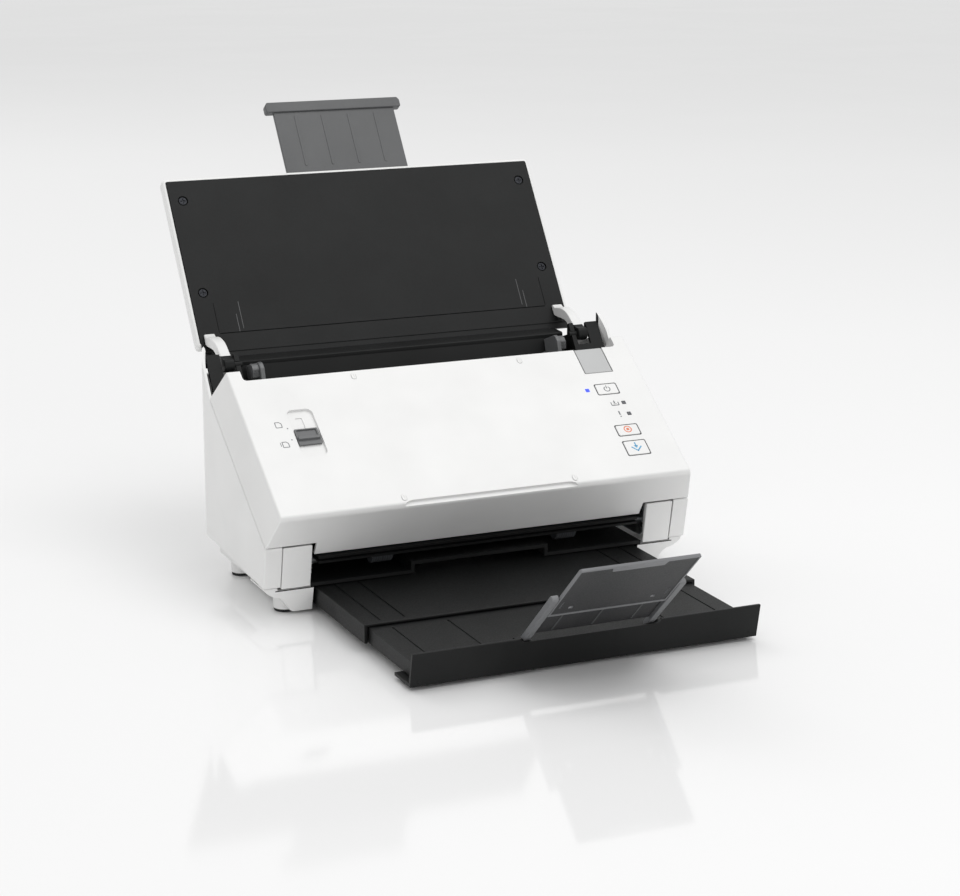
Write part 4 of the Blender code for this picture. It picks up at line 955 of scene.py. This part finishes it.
    def extension(self):
        plate = solid("extension_plate", rounded(-45.6, 45.6, 78.0, 176.0, 1.5), tray, -6.6, -4.0, 0.4, 2)
        bar = [(-51.0, 175.6), (-50.0, 174.8), (50.0, 174.8), (51.0, 175.6), (51.0, 180.4), (49.4, 182.6),
               (-49.4, 182.6), (-51.0, 180.4)]
        fuse(plate, solid("extension_bar", bar, tray, -8.4, -2.6, 0.9, 3))
        deliver(plate, "tray_extension", "dark_grey_abs", ["tray_extension"])
        spot = tray(-30.0, 0.0, -4.05)
        rib = solid("rib", rounded(-31.0, -29.0, 0.0, 40.0, 0.9, 4), tray, -4.05, -3.7, 0.15, 2)
        ribs = repeat("extension_ribs", at_origin(rib, spot), [tray(-30.0, 132.0, -4.05)], "dark_grey_abs", 4,
                      (20.0, 0, 0))
        deliver(ribs, "tray_extension", None)


# ---------------------------------------------------------------- edge guides


class SCANNER_OT_edge_guides(bpy.types.Operator):
    """Builds the two edge guides with their serrated thumb pads"""

    bl_idname = "scanner.edge_guides"
    bl_label = "Edge guides"

    def execute(self, context):
        fin = [(0.02, 0.5), (0.02, 17.0), (0.05, 19.6), (0.12, 21.5), (0.3, 21.2), (0.5, 20.2), (0.62, 19.0),
               (0.76, 14.4), (0.86, 8.0), (0.86, 0.5)]
        foot = [(0.21, 0.62), (0.21, 2.2), (0.66, 2.2), (0.66, 0.62)]
        pad = [(0.03, 6.0), (0.03, 15.0), (0.06, 18.0), (0.12, 19.5), (0.24, 18.0), (0.24, 6.0)]
        key = [(0.385, -5.0), (0.385, 1.0), (0.475, 1.0), (0.475, -5.0)]
        window = [(0.3, 6.0), (0.3, 17.6), (0.46, 16.8), (0.6, 14.6), (0.66, 6.0)]
        for name, side, body in (("left_edge_guide", -1, "left_guide"), ("right_edge_guide", 1, "right_guide")):
            guide = solid(name + "_fin", [yz(table, *p) for p in fin], across, *ends(side, 106.5, 109.6),
                          0.6, 3)
            fuse(guide,
                 solid("foot", [yz(table, *p) for p in foot], across, *ends(side, 104.5, 115.5), 0.3, 2),
                 solid("pad", [yz(table, *p) for p in pad], across, *ends(side, 109.0, 114.3), 0.5, 2),
                 solid("key", [yz(table, *p) for p in key], across, *ends(side, 106.6, 110.0)))
            cut(guide, solid("window", [yz(table, *p) for p in window], across, *ends(side, 108.6, 112.0)))
            deliver(guide, body, "mid_grey_abs", [name])
            self.teeth(name, side, body)
        return {"FINISHED"}

    def teeth(self, name, side, body):
        """Serrations across the front of the thumb pad."""
        x0, x1 = ends(side, 109.6, 114.2)
        profile = [(0.0, -0.6), (0.35, 0.5), (0.9, -0.6)]
        low, high = Vector(table(0.0, 0.235, 18.2)), Vector(table(0.0, 0.12, 19.6))
        along = (high - low).normalized()
        out = Vector((0.0, -along.z, along.y))
        outline = [(low + along * a + out * b)[1:] for a, b in profile]
        tooth = at_origin(solid("tooth", outline, across, x0, x1), low)
        count = sizes().teeth
        deliver(repeat(name + "_teeth", tooth, [low], "mid_grey_abs", count, (high - low) / count), body, None,
                sharp=25)


# ---------------------------------------------------------------- output tray and stopper


class SCANNER_OT_output(bpy.types.Operator):
    """Builds the two output tray stages, the lip and the folding stopper"""

    bl_idname = "scanner.output"
    bl_label = "Output tray and stopper"

    def execute(self, context):
        edge = sizes().tray_edge / MM
        stage = solid("output_tray_plate", rectangle(-112.6, 112.6, -75.0, 52.0),
                      level, 15.4, 17.2, edge)
        for side in (-1, 1):
            fuse(stage, solid("rail", rectangle(-74.9, 51.9, 5.1, 17.0), across,
                              *ends(side, 110.4, 112.55), 0.4, 2))
        cut(stage, *self.grooves(16.6, -70.0, 46.0, (84.0, 100.0)))
        deliver(stage, "output_tray", "black_abs", ["output_tray"])
        self.extension()
        self.stopper_frame()
        self.stopper_plate()
        return {"FINISHED"}

    def grooves(self, depth_z, y0, y1, places):
        """Long shallow grooves that the tray's sheets slide over."""
        return [solid("groove", rounded(*ends(side, x, x + 1.2), y0, y1, 0.5, 3), level, depth_z, 30.0)
                for side in (-1, 1) for x in places]

    def extension(self):
        stage = solid("output_extension_plate", rectangle(-109.8, 109.8, -151.0, -42.0), level, 12.9, 15.0, 0.5)
        lip = [(-154.1, 23.2), (-153.7, 23.6), (-152.1, 23.6), (-151.7, 23.2), (-147.6, 4.4), (-126.0, 4.2),
               (-126.0, 2.2), (-149.8, 2.2)]
        boss = [(-151.4, 14.0), (-152.2, 22.0), (-151.6, 22.6), (-146.6, 22.6), (-143.2, 19.5), (-143.2, 14.0)]
        fuse(stage, solid("lip", lip, across, -114.1, 114.1, 0.35, 2))
        for side in (-1, 1):
            fuse(stage,
                 solid("rail", rectangle(-150.9, -42.1, 5.1, 14.9), across,
                       *ends(side, 107.6, 109.75), 0.4, 2),
                 solid("boss", boss, across, *ends(side, 43.4, 47.6), 0.4, 2))
        dip = [(-47.0, 30.0), (-46.4, 23.2), (-44.6, 21.7), (-43.4, 21.2), (43.4, 21.2), (44.6, 21.7),
               (46.4, 23.2), (47.0, 30.0)]
        cut(stage,
            solid("dip", dip, facing, -160.0, -151.0),
            solid("dip_rear", rectangle(-43.4, 43.4, 21.2, 30.0), facing, -151.0, -140.0),
            solid("hinge_room", rectangle(-43.4, 43.4, 16.0, 30.0), facing, -150.4, -120),
            *self.grooves(14.5, -146.0, -80.0, (60.0, 96.0)))
        deliver(stage, "output_extension", "black_abs", ["output_extension"])

    def stopper_frame(self):
        web = solid("stopper_web", rounded(-39.0, 39.0, 8.0, 40.0, 1.0), stopper, -1.8, -0.6)
        deliver(web, "stopper", "stopper_face_abs")
        arms = []
        for side in (-1, 1):
            arm = [yz(stopper, *p) for p in ((0.4, -1.4), (1.2, -2.0), (56.0, -2.0), (57.0, -1.2), (57.0, 1.0),
                                             (56.0, 1.8), (1.2, 1.8), (0.4, 1.2))]
            x0, x1 = ends(side, 38.6, 43.0)
            arms += [solid("arm", arm, across, x0, x1, 0.6, 3),
                     turned("eye", [(x0 + 0.1, 0.02), (x0 + 0.1, 1.9), (x1 - 0.1, 1.9), (x1 - 0.1, 0.02)],
                            STOPPER_AXIS, 20)]
        # the arms take the lighter copy of the ABS: a painted highlight
        deliver(gather("stopper_arms", *arms), "stopper", "stopper_rim_highlight_abs", ["stopper_frame"])
        spot = stopper(-26.0, 10.0, -0.65)
        rib = solid("web_rib", rounded(-26.6, -25.4, 10.0, 32.0, 0.5, 3), stopper, -0.65, -0.4)
        ribs = repeat("stopper_web_ribs", at_origin(rib, spot), [spot], "dark_grey_abs", 3, (26.0, 0, 0))
        deliver(ribs, "stopper", None, grade=False)

    def stopper_plate(self):
        """A plate with a thin raised rim, a finger notch and two clips."""
        rim = [(-38.3, 34.0), (38.3, 34.0), (38.3, 91.0), (37.3, 92.0), (-37.3, 92.0), (-38.3, 91.0)]
        face = [(-37.2, 36.4), (37.2, 36.4), (37.2, 90.6), (17.6, 90.6), (16.4, 86.4), (-16.4, 86.4),
                (-17.6, 90.6), (-37.2, 90.6)]
        plate = solid("stopper_plate_rim", rim, stopper, -0.3, 1.6, 0.25, 2)
        cutters = [solid("face_pocket", face, stopper, 1.25, 3.0)]
        for side in (-1, 1):
            for near, far, s0, s1 in ((33.4, 34.6, 44.0, 52.0), (25.0, 28.0, 42.0, 44.6)):
                clip = rounded(*ends(side, near, far), s0, s1, 0.4, 3)
                cutters.append(solid("clip_hole", clip, stopper, -1, 3))
        cut(plate, *cutters)
        middle = metres(stopper(0.0, 60.0, 1.25))
        out = (metres(stopper(0.0, 60.0, 2.25)) - middle).normalized()

        def is_face(face):
            """Whether it lies on the pocket's floor or on the plate's back."""
            depth = (face.center - middle).dot(out) / MM
            return abs(depth) < 0.05 or depth < -1.4

        # rim and edges in the lighter copy, a painted highlight; pocket floor and back in the darker copy
        two_tone(plate, "stopper_rim_highlight_abs", "stopper_face_abs", is_face)
        deliver(plate, "stopper_plate", None, ["stopper_plate"])


# ---------------------------------------------------------------- rollers, feet and the rest


class SCANNER_OT_rollers(bpy.types.Operator):
    """Puts grooved rubber tyres on the rollers"""

    bl_idname = "scanner.rollers"
    bl_label = "Roller tyres"

    def execute(self, context):
        for name, body, radius, spans in TYRES:
            tyres = [turned("tyre", self.profile(low, high, radius + TYRE_PROUD), axis_of(body), 48)
                     for low, high in spans]
            deliver(gather(name, *tyres), body, "ground_rubber", sharp=30)
        return {"FINISHED"}

    def profile(self, low, high, outer):
        """Half of a tyre's section from low to high, with its edges broken and evenly spaced grooves."""
        x0, x1 = low - 0.15, high + 0.15
        profile = [(x0, TYRE_BORE), (x0, outer - 0.4), (x0 + 0.4, outer)]
        grooves = max(int((high - low) / GROOVE_PITCH) - 1, 1)
        for k in range(1, grooves + 1):
            middle = x0 + (x1 - x0) * k / (grooves + 1)
            profile += [(middle - 0.35, outer), (middle - 0.2, outer - GROOVE_DEPTH),
                        (middle + 0.2, outer - GROOVE_DEPTH), (middle + 0.35, outer)]
        return profile + [(x1 - 0.4, outer), (x1, outer - 0.4), (x1, TYRE_BORE)]


class SCANNER_OT_feet_and_sockets(bpy.types.Operator):
    """Builds the rubber feet and the sockets' inner parts"""

    bl_idname = "scanner.feet_and_sockets"
    bl_label = "Feet and sockets"

    def execute(self, context):
        for number, x, y in foot_places():
            foot = solid(f"foot_pad_{number}", disc(x, y, 7.0, 10), level, 0.0, 1.8, 0.4, 3)
            cut(foot, solid("foot_ring", disc(x, y, 3.0), level, -1.0, 0.4))
            deliver(foot, "base", "moulded_rubber", [f"rubber_foot_{number}"])
        tongue = solid("usb_tongue", rounded(-92.6, -87.4, 48.4, 52.4, 0.4, 3), facing, 128.2, 133.4, 0.25, 2)
        deliver(tongue, "base", "light_grey_abs")
        pin = solid("power_pin", rounded(-64.9, -63.1, 49.6, 51.4, 0.85, 6), facing, 127.6, 133.0, 0.2, 2)
        deliver(pin, "base", "ground_steel")
        return {"FINISHED"}


class SCANNER_OT_inside(bpy.types.Operator):
    """Gives the pieces that keep their modelled shape their own materials"""

    bl_idname = "scanner.inside"
    bl_label = "Pieces inside"

    def execute(self, context):
        kept = {
            "black_abs": ["feed_table", "lower_paper_guide", "upper_paper_guide", "lower_scan_unit",
                          "upper_scan_unit", "power_socket"],
            "dark_grey_abs": ["cover_frame"],
            "zinc_plated_steel": ["left_frame_plate", "right_frame_plate", "usb_socket", "drive_motor"],
            "cut_acetal": ["pickup_idler_gear", "transfer_gear_a", "transfer_gear_b", "transfer_gear_c",
                           "motor_pinion"],
            "ground_steel": ["feed_roller", "pickup_roller", "eject_roller", "separation_roller", "feed_idler",
                             "eject_idler"],
            "float_glass": ["lower_scan_glass", "upper_scan_glass"],
            "solder_mask": ["main_board", "control_board"],
        }
        for finish, names in kept.items():
            for name in names:
                node = frame["nodes"][name]
                node.data.materials.clear()
                node.data.materials.append(FINISH[finish])
        return {"FINISHED"}


# ---------------------------------------------------------------- stage


class SCANNER_OT_stage(bpy.types.Operator):
    """Makes the pale floor, the soft lights and the camera"""

    bl_idname = "scanner.stage"
    bl_label = "Floor, lights and camera"

    def execute(self, context):
        self.floor(context)
        self.lights()
        self.camera(context)
        return {"FINISHED"}

    def floor(self, context):
        # Polished acrylic sheet: pale, with a soft mirror image that blurs a little in patches 400 mm across.
        tree, shader, coords = new_finish("polished_acrylic", 0.08)
        shader.inputs["Base Color"].default_value = (*context.scene.scanner_colours.floor, 1.0)
        patches = add_node(tree, "ShaderNodeTexNoise", {"Vector": coords, "Scale": 1 / (400.0 * MM),
                                                        "Detail": 3.0}).outputs["Fac"]
        sheen = add_node(tree, "ShaderNodeMapRange", {"Value": patches, **gloss_range(0.05, 0.1)})
        tree.links.new(sheen.outputs["Result"], shader.inputs["Roughness"])
        mesh = bpy.data.meshes.new("floor")
        corners = [(x * FLOOR_REACH, y * FLOOR_REACH, 0.0) for x, y in ((-1, -1), (1, -1), (1, 1), (-1, 1))]
        mesh.from_pydata(corners, [], [(0, 1, 2, 3)])
        mesh.materials.append(FINISH["polished_acrylic"])
        floor = new_object("floor", mesh)
        floor.location.z = -FLOOR_DROP

    def lights(self):
        world = bpy.context.scene.world or bpy.data.worlds.new("studio")
        bpy.context.scene.world = world
        world.use_nodes = True
        sky = world.node_tree.nodes["Background"]
        sky.inputs["Color"].default_value = (1.0, 1.0, 1.0, 1.0)
        sky.inputs["Strength"].default_value = SKY_STRENGTH
        bpy.context.scene.view_settings.view_transform = "Standard"
        for name, place, target, size, power in (
                ("key_light", (0.7, -0.4, 2.4), (0.0, 0.0, 0.1), 1.5, 17.0),
                ("fill_light", (0.3, -2.8, 0.7), (0.0, 0.0, 0.1), 1.3, 8.0),
                ("rear_light", (-0.6, 2.4, 1.9), (0.0, 0.1, 0.15), 1.6, 12.0)):
            data = bpy.data.lights.new(name, "AREA")
            data.size = size
            data.energy = power
            lamp = new_object(name, data)
            lamp.location = place
            lamp.rotation_euler = (Vector(target) - Vector(place)).to_track_quat("-Z", "Y").to_euler()

    def camera(self, context):
        data = bpy.data.cameras.new("camera")
        data.sensor_width = 36.0
        data.lens = sizes().lens
        camera = new_object("camera", data)
        camera.location = CAMERA_AT
        camera.rotation_euler = (math.radians(CAMERA_TILT), 0.0, math.radians(CAMERA_TURN))
        context.scene.camera = camera


OPERATORS = (SCANNER_OT_materials, SCANNER_OT_cover, SCANNER_OT_sides, SCANNER_OT_arms, SCANNER_OT_controls,
             SCANNER_OT_input_tray, SCANNER_OT_edge_guides, SCANNER_OT_output, SCANNER_OT_rollers,
             SCANNER_OT_feet_and_sockets, SCANNER_OT_inside, SCANNER_OT_stage)


class SCANNER_PT_pieces(bpy.types.Panel):
    """Lists the scanner's pieces and settings"""

    bl_label = "Scanner"
    bl_idname = "SCANNER_PT_pieces"
    bl_space_type = "VIEW_3D"
    bl_region_type = "UI"
    bl_category = "Scanner"

    def draw(self, context):
        for group in (context.scene.scanner_sizes, context.scene.scanner_colours):
            for key in group.__annotations__:
                self.layout.prop(group, key)
        for operator in OPERATORS:
            self.layout.operator(operator.bl_idname)


CLASSES = (ScannerColours, ScannerSizes, *OPERATORS, SCANNER_PT_pieces)


def register():
    for cls in CLASSES:
        bpy.utils.register_class(cls)
    bpy.types.Scene.scanner_colours = PointerProperty(type=ScannerColours)
    bpy.types.Scene.scanner_sizes = PointerProperty(type=ScannerSizes)


def unregister():
    del bpy.types.Scene.scanner_sizes
    del bpy.types.Scene.scanner_colours
    for cls in reversed(CLASSES):
        bpy.utils.unregister_class(cls)


def main():
    register()
    for operator in OPERATORS:
        getattr(bpy.ops.scanner, operator.bl_idname.removeprefix("scanner."))()
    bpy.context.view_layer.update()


if __name__ == "__main__":
    main()
